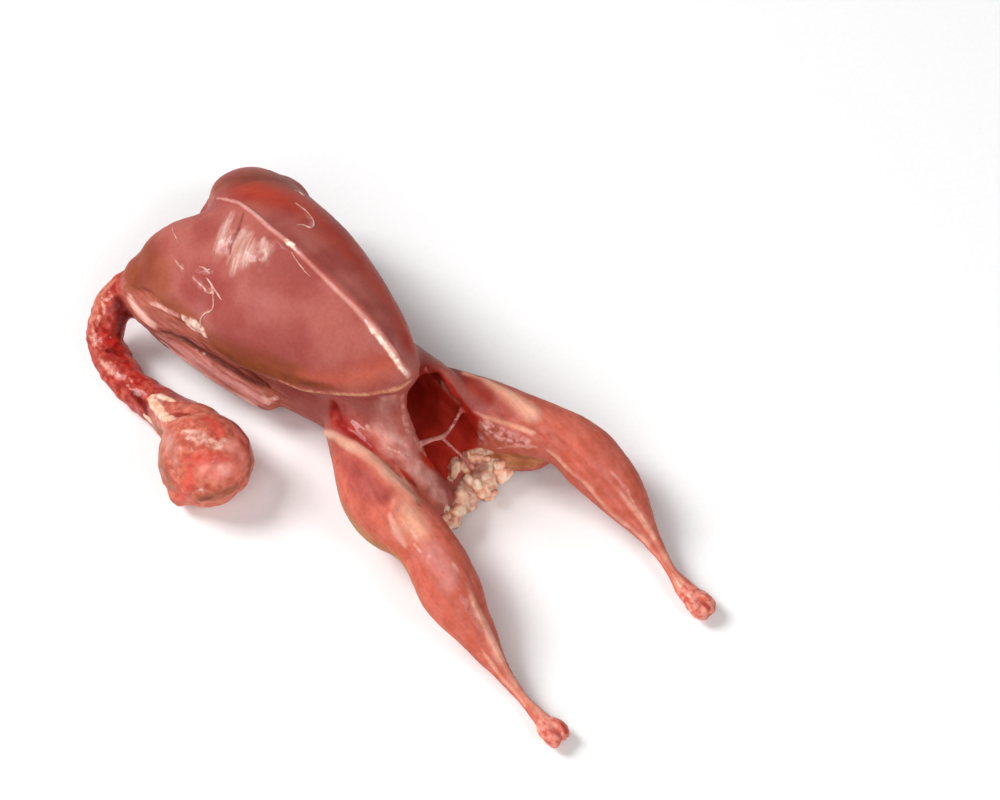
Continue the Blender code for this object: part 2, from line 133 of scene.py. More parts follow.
# Marks on the skin: places that differ from plain muscle, and places where highlights and shade are
# painted. Each station is x, y, z and the half width there.
MARKS = {
    "keel": (
        ((0.8, 51.2, 29.8, 0.4), (0.7, 47.9, 32.4, 0.5), (0.9, 44.7, 34.4, 0.6), (0.7, 41.4, 35.7, 0.6),
         (0.3, 37.9, 37.1, 0.6), (-0.2, 34.4, 38.2, 0.6), (-0.4, 28.4, 39.5, 0.6), (-0.7, 22.2, 39.5, 0.6),
         (-0.8, 16.5, 39.2, 0.6), (-0.7, 11.5, 38.7, 0.7), (-0.7, 6.1, 37.1, 1), (-0.6, 2.7, 34.9, 1),
         (-0.1, -0.8, 31, 0.8)),
    ),
    # Painted highlight: broken white streaks along the wet keel.
    "keel_white": (
        ((-0.8, 9, 38.1, 0.2), (-1, 7, 37.4, 0.6), (-1, 5.2, 36.6, 0.6), (-0.9, 3.6, 35.6, 0.7),
         (-0.9, 1.8, 34.2, 0.6), (-0.7, 0.3, 32.9, 0.7), (-0.5, -0.5, 31.6, 0.4)),
        ((-0.3, 30, 39.2, 0.4), (-0.4, 28.4, 39.6, 0.7), (-0.5, 27, 39.6, 0.3)),
    ),
    "sheen": (
        ((-1.5, 43.5, 34.6, 1), (-3.9, 42.3, 34.5, 1.6), (-6.2, 40.9, 34, 1.8), (-7.7, 40.2, 33.3, 1.1)),
        ((-3.1, 38.4, 35.9, 1.1), (-5.3, 36.6, 35.5, 2.4), (-7.1, 35.6, 34.8, 2.6), (-8.8, 34.5, 34, 1.6)),
        ((-2.9, 36.7, 36.5, 1.3), (-4.8, 34.8, 36.3, 2.1), (-6.9, 33.4, 35.6, 1.6)),
        ((-2.4, 33.6, 37.5, 0.9), (-3.7, 31.3, 37.7, 1.7), (-4.7, 30.8, 37.4, 1.1)),
    ),
    # Painted shade: a dark thin line along the crease left of the keel, which the relief also cuts in.
    "crease": (
        ((-0.3, 41.7, 35.8, 0.3), (-2, 40.5, 35.6, 0.5), (-3.2, 39.7, 35.5, 0.6), (-4.7, 39.1, 35.2, 0.6),
         (-5.9, 38.6, 34.7, 0.5), (-7.3, 37.2, 34.3, 0.3)),
    ),
    "smear": (
        ((-11.8, 41, 30, 0.7), (-11.2, 39.6, 30.9, 1), (-10.8, 38.2, 31.4, 0.7)),
        ((-12.9, 41, 29, 0.7), (-13, 39.1, 29.2, 1), (-13, 36.7, 29.6, 1), (-12.4, 35.6, 30.2, 0.7)),
        ((-12.5, 46.8, 28.1, 0.5), (-12.8, 43.9, 28.5, 0.7)),
        ((-14.3, 34.3, 27.8, 0.5), (-15.3, 35.7, 25.8, 0.7), (-15.9, 36, 24.2, 0.6)),
        ((8.9, 39, 32.7, 0.4), (8.5, 35.6, 33.8, 0.6), (7.1, 31.9, 35.6, 0.8), (5.6, 30.5, 36.9, 0.8),
         (4.2, 32.3, 37.3, 0.4)),
        ((12.6, 44, 28.4, 0.4), (13.2, 42.6, 28, 0.6)),
        ((-3.4, 14, 37.2, 0.3), (-3.4, 11.8, 36.8, 0.4)),
    ),
    "wet": (
        ((-5.4, 43.6, 33.4, 3.2), (-5.2, 38, 35.2, 4.2), (-5, 33, 37, 3.8)),
        ((-0.4, 30, 39, 1.6), (-0.4, 26, 39.4, 0.6)),
        ((-0.4, 12, 39, 1), (-0.4, 5, 36.6, 3), (0, 0, 32.5, 2.6)),
        ((-12.4, 46, 28.4, 1.6), (-12.6, 38, 29.6, 2.4), (-15.6, 36, 25, 1.8)),
        ((-17.4, 48, 15, 5), (-16, 36, 12, 5.5), (-13, 27, 9, 4.5)),
        ((-22, 58, 11, 6), (-26.6, 48, 5, 6.5), (-26, 34, 8, 7), (-28, 23, 9, 12)),
        ((-11, -10, 17, 2), (-13, -16, 16, 4), (-14.4, -27, 14, 3.6), (-16, -40, 7, 3), (-17.6, -56, 3, 4)),
        ((-8, 6, 17, 3.6), (-5.4, -3, 17.2, 4), (-4.6, -10, 13, 3.6)),
        ((10, -6, 17, 4), (13.4, -15, 15, 4), (19.4, -27, 14.6, 3.6), (18, -42, 6, 3.4), (16.8, -56, 3, 4)),
        ((0, -13, 5, 6), (8, -12, 5, 5)),
    ),
    "flake": (
        ((-16.8, 39.8, 22.2, 0.7), (-16.6, 38.4, 22.2, 1.1), (-16.3, 37, 23, 0.9), (-16.3, 35.2, 22.6, 0.8),
         (-16.3, 34.2, 21.8, 0.4)),
        ((-17, 39.1, 21, 0.5), (-16.9, 37.8, 21, 0.9), (-16.6, 36.1, 21.6, 0.7)),
    ),
    "rim": (
        ((-12.5, 19.1, 20.7, 0.5), (-11.7, 16.9, 20.8, 0.6), (-11, 15, 20.8, 0.7), (-9.7, 11.5, 22.4, 0.7),
         (-8.6, 8.9, 23.8, 0.7), (-7.3, 6.4, 25, 0.7), (-5.9, 4.1, 26.2, 0.7), (-3.7, 0.9, 28.4, 0.8),
         (-2, -0.7, 29.6, 0.8), (0.2, -0.9, 29.4, 0.8)),
    ),
    "rim_dark": (
        ((-16.6, 36, 19.6, 1), (-15.9, 31.4, 19.2, 2.2), (-14.6, 26, 20.2, 3.2), (-13.4, 21, 21.6, 3.4),
         (-12.2, 17, 22.4, 2.8), (-10.6, 13.6, 23.6, 2), (-8.6, 9.6, 25.4, 1.2)),
    ),
    "olive": (
        ((-18.3, 53.9, 18.8, 5), (-17.7, 48.9, 18.9, 5), (-17.2, 43, 20.7, 5), (-16.6, 37.2, 22.2, 4)),
        ((-17.2, 55.1, 19.6, 6), (-13.9, 54.3, 23.3, 6), (-15.4, 48, 24, 5)),
        ((-16, 31.7, 21.4, 4), (-14.7, 25.9, 22, 5.5), (-12.6, 19.9, 24, 5.2), (-11, 15.5, 25.6, 3.6)),
    ),
    "salmon": (
        ((-11.1, 14.6, 25.5, 2.6), (-9.6, 11.5, 26.4, 3.6), (-7.6, 7.2, 28.4, 4.6), (-4.9, 4.2, 31.1, 5.4),
         (-1.4, 2.4, 33.6, 4.4)),
    ),
    "mauve": (
        ((-8.1, 29, 34.5, 8.5), (-9, 22, 33.5, 8)),
    ),
    # The far half of the breast: its own red-brown, painted darker as shade on the side turned from the
    # light.
    "far_side": (
        ((6, 46, 32.5, 8), (9.5, 36, 31.5, 9.5), (8, 22, 33, 8), (6.5, 12, 33, 6), (3.8, 4, 32.5, 4)),
    ),
    "front_brown": (
        ((2, 55, 27.5, 5), (7, 52.5, 28.5, 8.5), (12, 49, 27, 8.5)),
    ),
    # Painted highlight: a soft pale glow under the sheen's strokes.
    "veil": (
        ((-7.6, 39.4, 33.6, 2.2), (-5.2, 38.9, 34.9, 3.4), (-3.1, 38.2, 36, 2)),
        ((-7.3, 34.3, 35.1, 2.2), (-4.4, 33.2, 36.9, 3.4), (-2.6, 31.6, 38.1, 1.8)),
    ),
    "notch_pale": (
        ((3, 56.2, 24.8, 1), (1.8, 54.4, 26.6, 1.4), (1, 52.6, 28.4, 0.8)),
    ),
    "wing": (
        ((-19, 55, 12, 6), (-19, 50, 14.5, 6), (-18, 44, 14.5, 7), (-17, 38, 14.5, 7.5), (-15.6, 32, 13, 7),
         (-13.2, 27, 11, 6), (-11.6, 23.5, 9, 4.5)),
    ),
    "wing_rose": (
        ((-18.8, 46, 11.5, 1.6), (-18, 43.7, 10.9, 2), (-16.7, 36.1, 10.6, 2.2), (-15.1, 29.8, 9.8, 2.2),
         (-13.2, 24.6, 8.8, 2)),
    ),
    "wing_pale": (
        ((-19.2, 53, 16.4, 1.4), (-19.6, 50.9, 15.5, 2.3), (-19.5, 49.2, 15.2, 2.4),
         (-19.3, 47, 14.6, 1.4)),
        ((-17.8, 48.3, 18.6, 0.6), (-17.5, 46.2, 19.6, 0.8), (-17.3, 43.5, 20.5, 0.9),
         (-17, 41, 21.4, 0.6)),
        ((-18.5, 46.7, 9.3, 0.6), (-17.9, 42.5, 8.9, 0.7), (-17.1, 38.3, 8.6, 0.7), (-16.3, 34.2, 8.2, 0.7),
         (-15.3, 30.6, 7.4, 0.8), (-14.5, 27.7, 7.2, 0.9), (-13.9, 25.8, 6.9, 0.9)),
        ((-13.1, 24.8, 9.1, 0.7), (-12.6, 23.7, 8.6, 1), (-11.3, 23.1, 9.2, 0.8)),
        ((-16.8, 39.6, 15.2, 0.4), (-16, 36, 14.8, 0.6), (-15, 33, 14, 0.4)),
    ),
    # Painted shade in the wing's grooves, which the relief cuts in.
    "wing_dark": (
        ((-18.8, 45.5, 13.2, 0.5), (-18, 43.5, 13.9, 0.8), (-17.2, 42, 13.7, 0.9), (-16.5, 39.8, 13.3, 0.9),
         (-15.8, 36.6, 13.1, 0.9), (-15, 33.9, 12.7, 0.9), (-14.1, 31.4, 12.2, 0.9),
         (-13.3, 28.6, 11.5, 0.8), (-12.1, 25.7, 10.9, 0.6)),
        ((-16.6, 35.6, 18, 0.8), (-15.6, 33.2, 15.6, 1.1), (-14, 31.4, 13.8, 1.2), (-12.6, 27.8, 12.8, 1.1),
         (-11.5, 24.7, 11.6, 1)),
        ((-16.6, 50, 20, 1.1), (-17.6, 54.4, 17.6, 1)),
    ),
    "neck": (
        ((-19, 58.6, 11, 6), (-24.6, 56.4, 5, 6.5), (-27, 48, 3.6, 6.5), (-26.2, 41, 3.8, 6)),
    ),
    "neck_orange": (
        ((-18.4, 60.4, 12.9, 2), (-20.6, 59.8, 12.7, 2.2), (-22.6, 58.6, 11.6, 2), (-24.6, 58, 8.6, 1.8)),
    ),
    "neck_red": (
        ((-24.6, 55.4, 9.3, 1.2), (-24.7, 54, 8.2, 1.9), (-24.3, 52.4, 7.4, 1.9), (-24.6, 50.4, 7, 1.5)),
        ((-25.1, 48.4, 6.6, 1.3), (-24.7, 46.4, 6.2, 1.7), (-24.8, 44, 6.4, 1.5)),
        ((-26.8, 46, 6.9, 0.8), (-26.6, 43.6, 7, 1)),
    ),
    # Dark red gaps on the neck; the first path is painted shade between the neck and the body.
    "neck_dark": (
        ((-20, 56.2, 13.4, 1.4), (-20.4, 55.3, 12.4, 2), (-20.6, 54.2, 10.6, 2.4), (-22.4, 53.4, 7.6, 1.4)),
        ((-26.4, 52.6, 7.4, 0.6), (-25.6, 52, 7.4, 0.9), (-25.2, 51, 7.3, 0.6)),
        ((-28.3, 42.8, 6.2, 0.8), (-28.4, 41.4, 6.2, 1.1), (-28.4, 39.7, 6.2, 1.1),
         (-28.9, 38.2, 5.8, 0.8)),
    ),
    # Pale spots on the neck; the first two paths are painted glints on its wet bumps.
    "neck_pale": (
        ((-22.1, 58.4, 12.6, 0.4), (-22.6, 57.6, 12.3, 0.7), (-23.1, 56.9, 11.7, 0.4)),
        ((-23.8, 57.3, 11.1, 0.4), (-24.4, 57.1, 10.5, 0.6), (-25.2, 56.9, 9.6, 0.5)),
        ((-26.2, 57, 8.3, 0.8), (-26.7, 56.4, 7.7, 1.2), (-27.1, 55.4, 7.3, 0.9)),
        ((-28, 52.8, 6.5, 0.7), (-28.2, 51.4, 6.4, 1), (-28.3, 49.7, 6.3, 1.1), (-28, 47.3, 6.6, 0.8)),
        ((-27, 45.6, 6.9, 0.4), (-27, 44.8, 6.9, 0.5)),
    ),
    "neck_fat": (
        ((-27.2, 39.4, 7.2, 0.7), (-27.3, 38.2, 7.4, 1.1), (-27.6, 36.7, 7.9, 1.3), (-28.2, 34.5, 8.8, 1.2),
         (-28.4, 32.3, 10.1, 1), (-28.2, 30.3, 11.7, 0.7)),
        ((-26.5, 39.5, 7.4, 0.5), (-25.7, 38.8, 7.6, 0.7), (-25.4, 37.3, 8.1, 0.8), (-25.2, 35.8, 8.8, 0.7),
         (-24.9, 34.5, 9.3, 0.4)),
        ((-29.2, 38.9, 4.7, 0.4), (-29.4, 37.5, 5, 0.7), (-29.4, 36.5, 5.4, 0.6)),
    ),
    # Painted shade: darker red in the dent that the relief cuts in the neck.
    "neck_hole": (
        ((-27, 32.4, 10.8, 0.4), (-26.9, 31.2, 11.4, 0.7), (-26.4, 29.9, 12.1, 0.9),
         (-25.6, 29.4, 12.2, 0.5)),
    ),
    "head": (
        ((-27, 31, 6, 6.6), (-28, 25, 7.7, 10), (-29, 21, 7.7, 11), (-33, 20, 5, 8)),
    ),
    "head_grey": (
        ((-30.7, 30, 10.9, 1.8), (-32.1, 26.4, 13.3, 2.8), (-33.2, 24.2, 13.3, 2.6),
         (-33.6, 22.6, 12.8, 1.6)),
    ),
    # Salmon patches on the head, painted lighter to lift the shade on the head's right side.
    "head_salmon": (
        ((-25.6, 18.6, 14, 2), (-24.2, 17.5, 12.6, 3), (-24.8, 15.9, 11.4, 3), (-27.2, 14.9, 11, 2.8)),
        ((-31.3, 17.9, 13.2, 2), (-29.5, 16.4, 12.8, 3), (-26.7, 15.6, 11.8, 3)),
        ((-21.6, 22, 12.4, 1.6), (-21.8, 19.4, 11.8, 2)),
    ),
    # Tan on the head's edges; along the lit left edge it is painted darker, as shade.
    "head_tan": (
        ((-30, 34.4, 6, 2.4), (-33.4, 28.8, 9.4, 3), (-35.4, 25, 9.8, 3), (-36.2, 22.3, 8, 2.2)),
        ((-34, 16.6, 8.2, 1.4), (-31, 14.6, 8.8, 2), (-28.2, 13.9, 8.6, 1.8)),
        ((-22, 18.4, 10, 1), (-23.1, 16, 8.8, 1.4), (-24.3, 15, 8, 1.2)),
    ),
    "head_red": (
        ((-24.6, 25.6, 13.8, 1.8), (-24.4, 23.2, 14.5, 2.6), (-25, 21.2, 14.7, 1.6)),
        ((-22.6, 19.4, 12.6, 0.8), (-22.5, 18.2, 11.8, 0.9)),
        ((-32.4, 21.3, 13.9, 1.4), (-30.9, 19.7, 14.2, 2.2), (-28.9, 18.4, 14.1, 1.8),
         (-27, 17.1, 13.3, 1.4)),
        ((-33.1, 19.9, 13.1, 1.4), (-34.1, 18.9, 11.4, 2), (-35, 18.9, 9.7, 1.8)),
        ((-35.8, 20.4, 6, 1.6), (-35.5, 19.2, 8.2, 2)),
    ),
    "head_pale": (
        ((-29.4, 25.8, 14.7, 0.8), (-29.1, 24.3, 15, 1.4), (-28.3, 22.6, 15.2, 1.7), (-27.5, 20.8, 15, 1.3),
         (-26.6, 19.6, 14.7, 0.9)),
        ((-28.3, 19.9, 14.8, 0.7), (-26.6, 19.4, 14.5, 1.1), (-25.2, 19.6, 14.3, 0.9)),
        ((-33.5, 16.9, 10.3, 0.6), (-33, 16.4, 10.1, 0.8)),
        ((-26, 27.8, 13, 0.6), (-24.6, 27.2, 12.8, 0.5)),
        ((-34.6, 22.4, 11.6, 0.7), (-34.8, 21, 11, 0.6)),
    ),
    "head_brown": (
        ((-34, 16.7, 7.8, 0.7), (-33, 15.9, 8.2, 1), (-32.3, 15.4, 8.5, 0.7)),
    ),
    "leg": (
        ((-10.6, -3, 11, 11), (-12.6, -10, 11, 10), (-13.6, -20, 11, 9), (-14.9, -27, 9.5, 9),
         (-16.2, -35, 7, 7), (-17.2, -42, 4.8, 5), (-17.9, -56, 2.6, 4.6)),
        ((12.6, -7, 12, 8), (16, -14, 12, 9), (19.7, -22, 11.5, 9.5), (20.1, -32, 8, 8),
         (18.8, -42, 4.6, 6), (16.8, -56, 2.7, 5)),
    ),
    "thigh_tan": (
        ((-12, 6, 8, 3), (-16.4, -1, 10, 3.6), (-18.6, -7, 10.6, 3.6), (-18.6, -13, 9.6, 3.8),
         (-17.6, -18, 9.6, 2.8), (-19.2, -24, 10, 1.8)),
        ((10.6, 3, 16, 2), (14.6, -3, 16.2, 2.4), (17.6, -9, 15, 2.4)),
        ((14.4, -19.6, 8.4, 2.2), (16, -26, 7.6, 2)),
    ),
    "tan_lobe": (
        ((9.4, -12, 7.4, 2.2), (11.3, -14.7, 7.6, 3.4), (13.3, -16.2, 8.2, 3.8), (15.5, -17.6, 8.8, 2.6)),
    ),
    "thigh_pink": (
        ((-13.7, 1.4, 16.3, 2.4), (-13.8, -1.1, 17.2, 3.2), (-14.9, -4.4, 17.2, 3.8),
         (-14.7, -6.6, 17.4, 3.6), (-13.8, -8.9, 17.7, 2.6)),
    ),
    "band": (
        ((-9.8, 18, 7, 1), (-10.4, 10.6, 11, 1.1), (-11.3, 7.6, 14.9, 1.2), (-11.3, 3.8, 16.8, 1.4),
         (-10.6, -0.8, 18, 1.8), (-10.2, -3.3, 18, 2.2), (-10.1, -5.9, 17.9, 2.5), (-9.9, -8.1, 17.5, 2.6),
         (-9.8, -10.3, 17, 2.4), (-9.8, -12.5, 16.4, 1.8)),
    ),
    "cap": (
        ((-11.8, -12, 17.2, 3.4), (-13, -15, 16.6, 4.2), (-13.6, -18, 16.2, 3.4)),
    ),
    "cap_line": (
        ((-15.1, -12.1, 16.8, 0.6), (-15.5, -13.1, 16.3, 0.9), (-16, -14.5, 15.6, 1.1),
         (-16.2, -15.8, 15, 1.1), (-16.4, -17.4, 14.6, 0.8)),
        ((-14.2, -16.2, 16.3, 0.3), (-14.5, -17.4, 16.1, 0.5), (-14.9, -18.9, 15.9, 0.3)),
        ((9.4, -12.3, 11.1, 0.4), (10.6, -14.3, 12.7, 0.7), (11.9, -16, 13.6, 0.7),
         (13.4, -18.1, 14.1, 0.5)),
    ),
    "mauve_drum": (
        ((-14.6, -22, 15.8, 3.4), (-15.6, -27, 14.8, 3.4)),
    ),
    "tendon": (
        ((-13.6, -29, 13.6, 0.5), (-14.6, -32, 12.2, 1), (-15.4, -36, 9.6, 1.3), (-16.4, -40, 7.2, 1.3),
         (-17, -45, 5.2, 1.2), (-17.3, -50, 4.2, 1.2), (-17.4, -56, 3.8, 1)),
        ((-18, -38, 8, 0.4), (-18.4, -43, 5.2, 0.7), (-18.6, -49, 3.8, 0.8)),
        ((14.6, -18.8, 14.2, 0.6), (14.9, -23.6, 12.9, 0.7), (15.5, -28.1, 12.1, 0.8),
         (16, -32.6, 9.2, 0.9), (16.6, -36.4, 7.2, 0.9), (17.2, -41, 6, 1), (16.8, -46, 4.8, 0.9),
         (16.2, -51, 4.2, 0.9)),
        ((18.4, -31, 13, 0.4), (18.8, -35.5, 10.6, 0.8), (19.1, -40.7, 7.4, 1), (18.1, -45.8, 5.2, 0.9),
         (17.2, -50.7, 4.4, 0.8)),
        ((20.6, -30, 13.6, 0.3), (20.6, -35, 10.4, 0.6), (19.8, -40, 7.2, 0.6)),
    ),
    "ankle": (
        ((-18.2, -54.6, 3, 2.8), (-18.6, -57.4, 2.6, 3)),
        ((16.8, -53.6, 3, 3.4), (16.8, -57, 2.6, 3.4)),
    ),
    "ankle_red": (
        ((-17.9, -54.4, 4.3, 0.4), (-17.8, -56, 4.2, 0.7), (-17.9, -58, 3.6, 0.8)),
        ((-16.4, -55.6, 3.9, 0.4), (-16.6, -57.2, 3.4, 0.6)),
        ((16.9, -52.6, 4.6, 0.3), (17, -55.2, 4.6, 0.5), (17, -57.6, 3.8, 0.6)),
    ),
    "flank_pink": (
        ((-6.5, 12.6, 17.5, 3), (-7.3, 8.4, 17.1, 3), (-7.7, 6, 17.1, 2.6), (-8.2, 3.4, 17.3, 2.2),
         (-8, -1, 17, 2), (-7.6, -6, 16, 1.8)),
    ),
    "flank": (
        ((-7.5, 11.1, 16.8, 1.5), (-8.3, 10.3, 15.6, 2.2), (-8.8, 8.6, 15.9, 2.4), (-9.1, 5.9, 16.8, 2.2),
         (-9.3, 3.5, 17.4, 1.8), (-9.1, 0.5, 17.7, 1.4), (-8.9, -3, 17.4, 1), (-8.6, -7.5, 16.6, 1)),
        ((-7.6, -7.2, 15.7, 0.8), (-7.6, -8.5, 15.4, 1.5), (-7.3, -9.6, 14.6, 1)),
    ),
    "membrane": (
        ((-2.7, 1.4, 25.1, 2.3), (-3.9, 1.8, 21.6, 2.8), (-5.2, 1.3, 18.5, 3.2), (-5.4, -2, 17.5, 3.4),
         (-5.1, -5.1, 16.4, 3.4), (-4.8, -7.9, 14.8, 3.2), (-4.1, -11, 11.8, 2.8), (-3.9, -13.2, 9.7, 1.8)),
    ),
    "glint": (
        ((-6.7, 3.5, 17.9, 0.4), (-6.7, 2.8, 17.8, 0.7), (-6.9, 2.2, 17.6, 0.4)),
        ((-6.7, -2.2, 17.1, 0.3), (-5.9, -3.8, 16.8, 0.4), (-4.6, -5.4, 16.2, 0.3)),
        ((-15.5, -18.6, 15.5, 0.3), (-15.6, -19.5, 15.4, 0.5), (-15.7, -20.5, 15.4, 0.3)),
        ((-13.2, -25.6, 15.3, 0.3), (-13.3, -26.4, 15.1, 0.7), (-13.4, -27.2, 14.8, 0.3)),
        ((8.5, -7.5, 16.4, 0.3), (8.8, -9.3, 16.2, 0.5), (9, -10.8, 15.3, 0.4), (9.8, -12.7, 14.4, 0.4)),
        ((9.9, -13, 14.6, 0.3), (11, -14.4, 14.3, 0.4)),
    ),
    "cut_edge": (
        ((-1.1, 0.1, 25.4, 0.5), (-1.9, -1, 23.3, 0.5), (-2.5, -2, 21.3, 0.6), (-2.8, -3.3, 19.2, 0.6),
         (-2.3, -4.7, 16.5, 0.6), (-1.8, -6.3, 14.2, 0.6)),
        ((4.7, 0.7, 26.7, 0.5), (7.4, 1.4, 21, 0.6), (8.6, 0.4, 17.6, 0.8), (8.5, -1.6, 16.9, 0.8),
         (8.5, -3.6, 16.9, 0.8)),
    ),
    "lip_dark": (
        ((2.9, -0.2, 29, 0.8), (4.4, 0.4, 26.4, 2), (5.6, 0.6, 24.6, 2.4), (7.2, 1, 21.6, 2.4),
         (8.7, 2.6, 18, 2), (8.7, -0.2, 18.6, 1.2)),
    ),
    "far_strip": (
        ((8.4, 2.4, 16.6, 0.8), (8.4, -1, 16.4, 1), (8.2, -4.9, 16.2, 1)),
    ),
    # The inner thigh of the far leg: red flesh, painted darker for the shade it lies in.
    "far_inner": (
        ((10.6, 1.6, 17.6, 3), (11.4, -3, 18.5, 2.3), (12, -7.4, 18.6, 1.8)),
    ),
    # Cream band on the far thigh, painted lighter to lift the shade on the side of its ridge turned from the
    # light.
    "far_band": (
        ((12.4, -0.5, 18.6, 0.7), (14, -3.4, 18.6, 1.3), (14.6, -6.8, 19, 1.8), (15, -9.4, 18.8, 2.4),
         (15.4, -12, 18.6, 2.8), (15.8, -14.4, 18, 2.4)),
        ((8.8, -7.1, 17.7, 0.3), (9.7, -9.3, 17.5, 0.7), (11.2, -12, 17.2, 0.8), (12.9, -14.8, 16.6, 0.9),
         (13.9, -16.6, 16.3, 0.7)),
    ),
    # Pinkish striated tissue; its pale flecks are painted glints on the wet wrinkles.
    "striated": (
        ((8.6, -7, 16.6, 1.8), (9.2, -10, 16, 2.4), (10.4, -13.3, 15, 2.4), (12.2, -16.2, 14.4, 1.8)),
        ((8.4, -6.4, 13.1, 1.6), (8.4, -9.3, 11.5, 1.8)),
    ),
    "fat": (
        ((-4, -13.6, 8.2, 0.9), (-4.6, -14.4, 4, 2.4), (-1.6, -14, 4, 3.2), (2, -13.4, 4, 3.4),
         (6, -13, 4, 3.6), (9.2, -12, 4.4, 3), (11, -11.2, 3.6, 1.8)),
        ((1.5, -8.8, 5.4, 0.7), (3.7, -7.8, 5.2, 1.1), (5.5, -7.9, 5.6, 1.4), (7.1, -8.8, 6.8, 1.6),
         (8.1, -9.8, 8, 1.5), (8.8, -10.9, 8.7, 1.1)),
    ),
    "fat_shade": (
        ((4.9, -9.6, 5.1, 0.7), (6, -10.8, 5.4, 1.2), (7.6, -11.4, 6, 1)),
        ((-1.6, -11.4, 8, 1.2), (0.6, -11.6, 6.2, 1.2)),
    ),
}


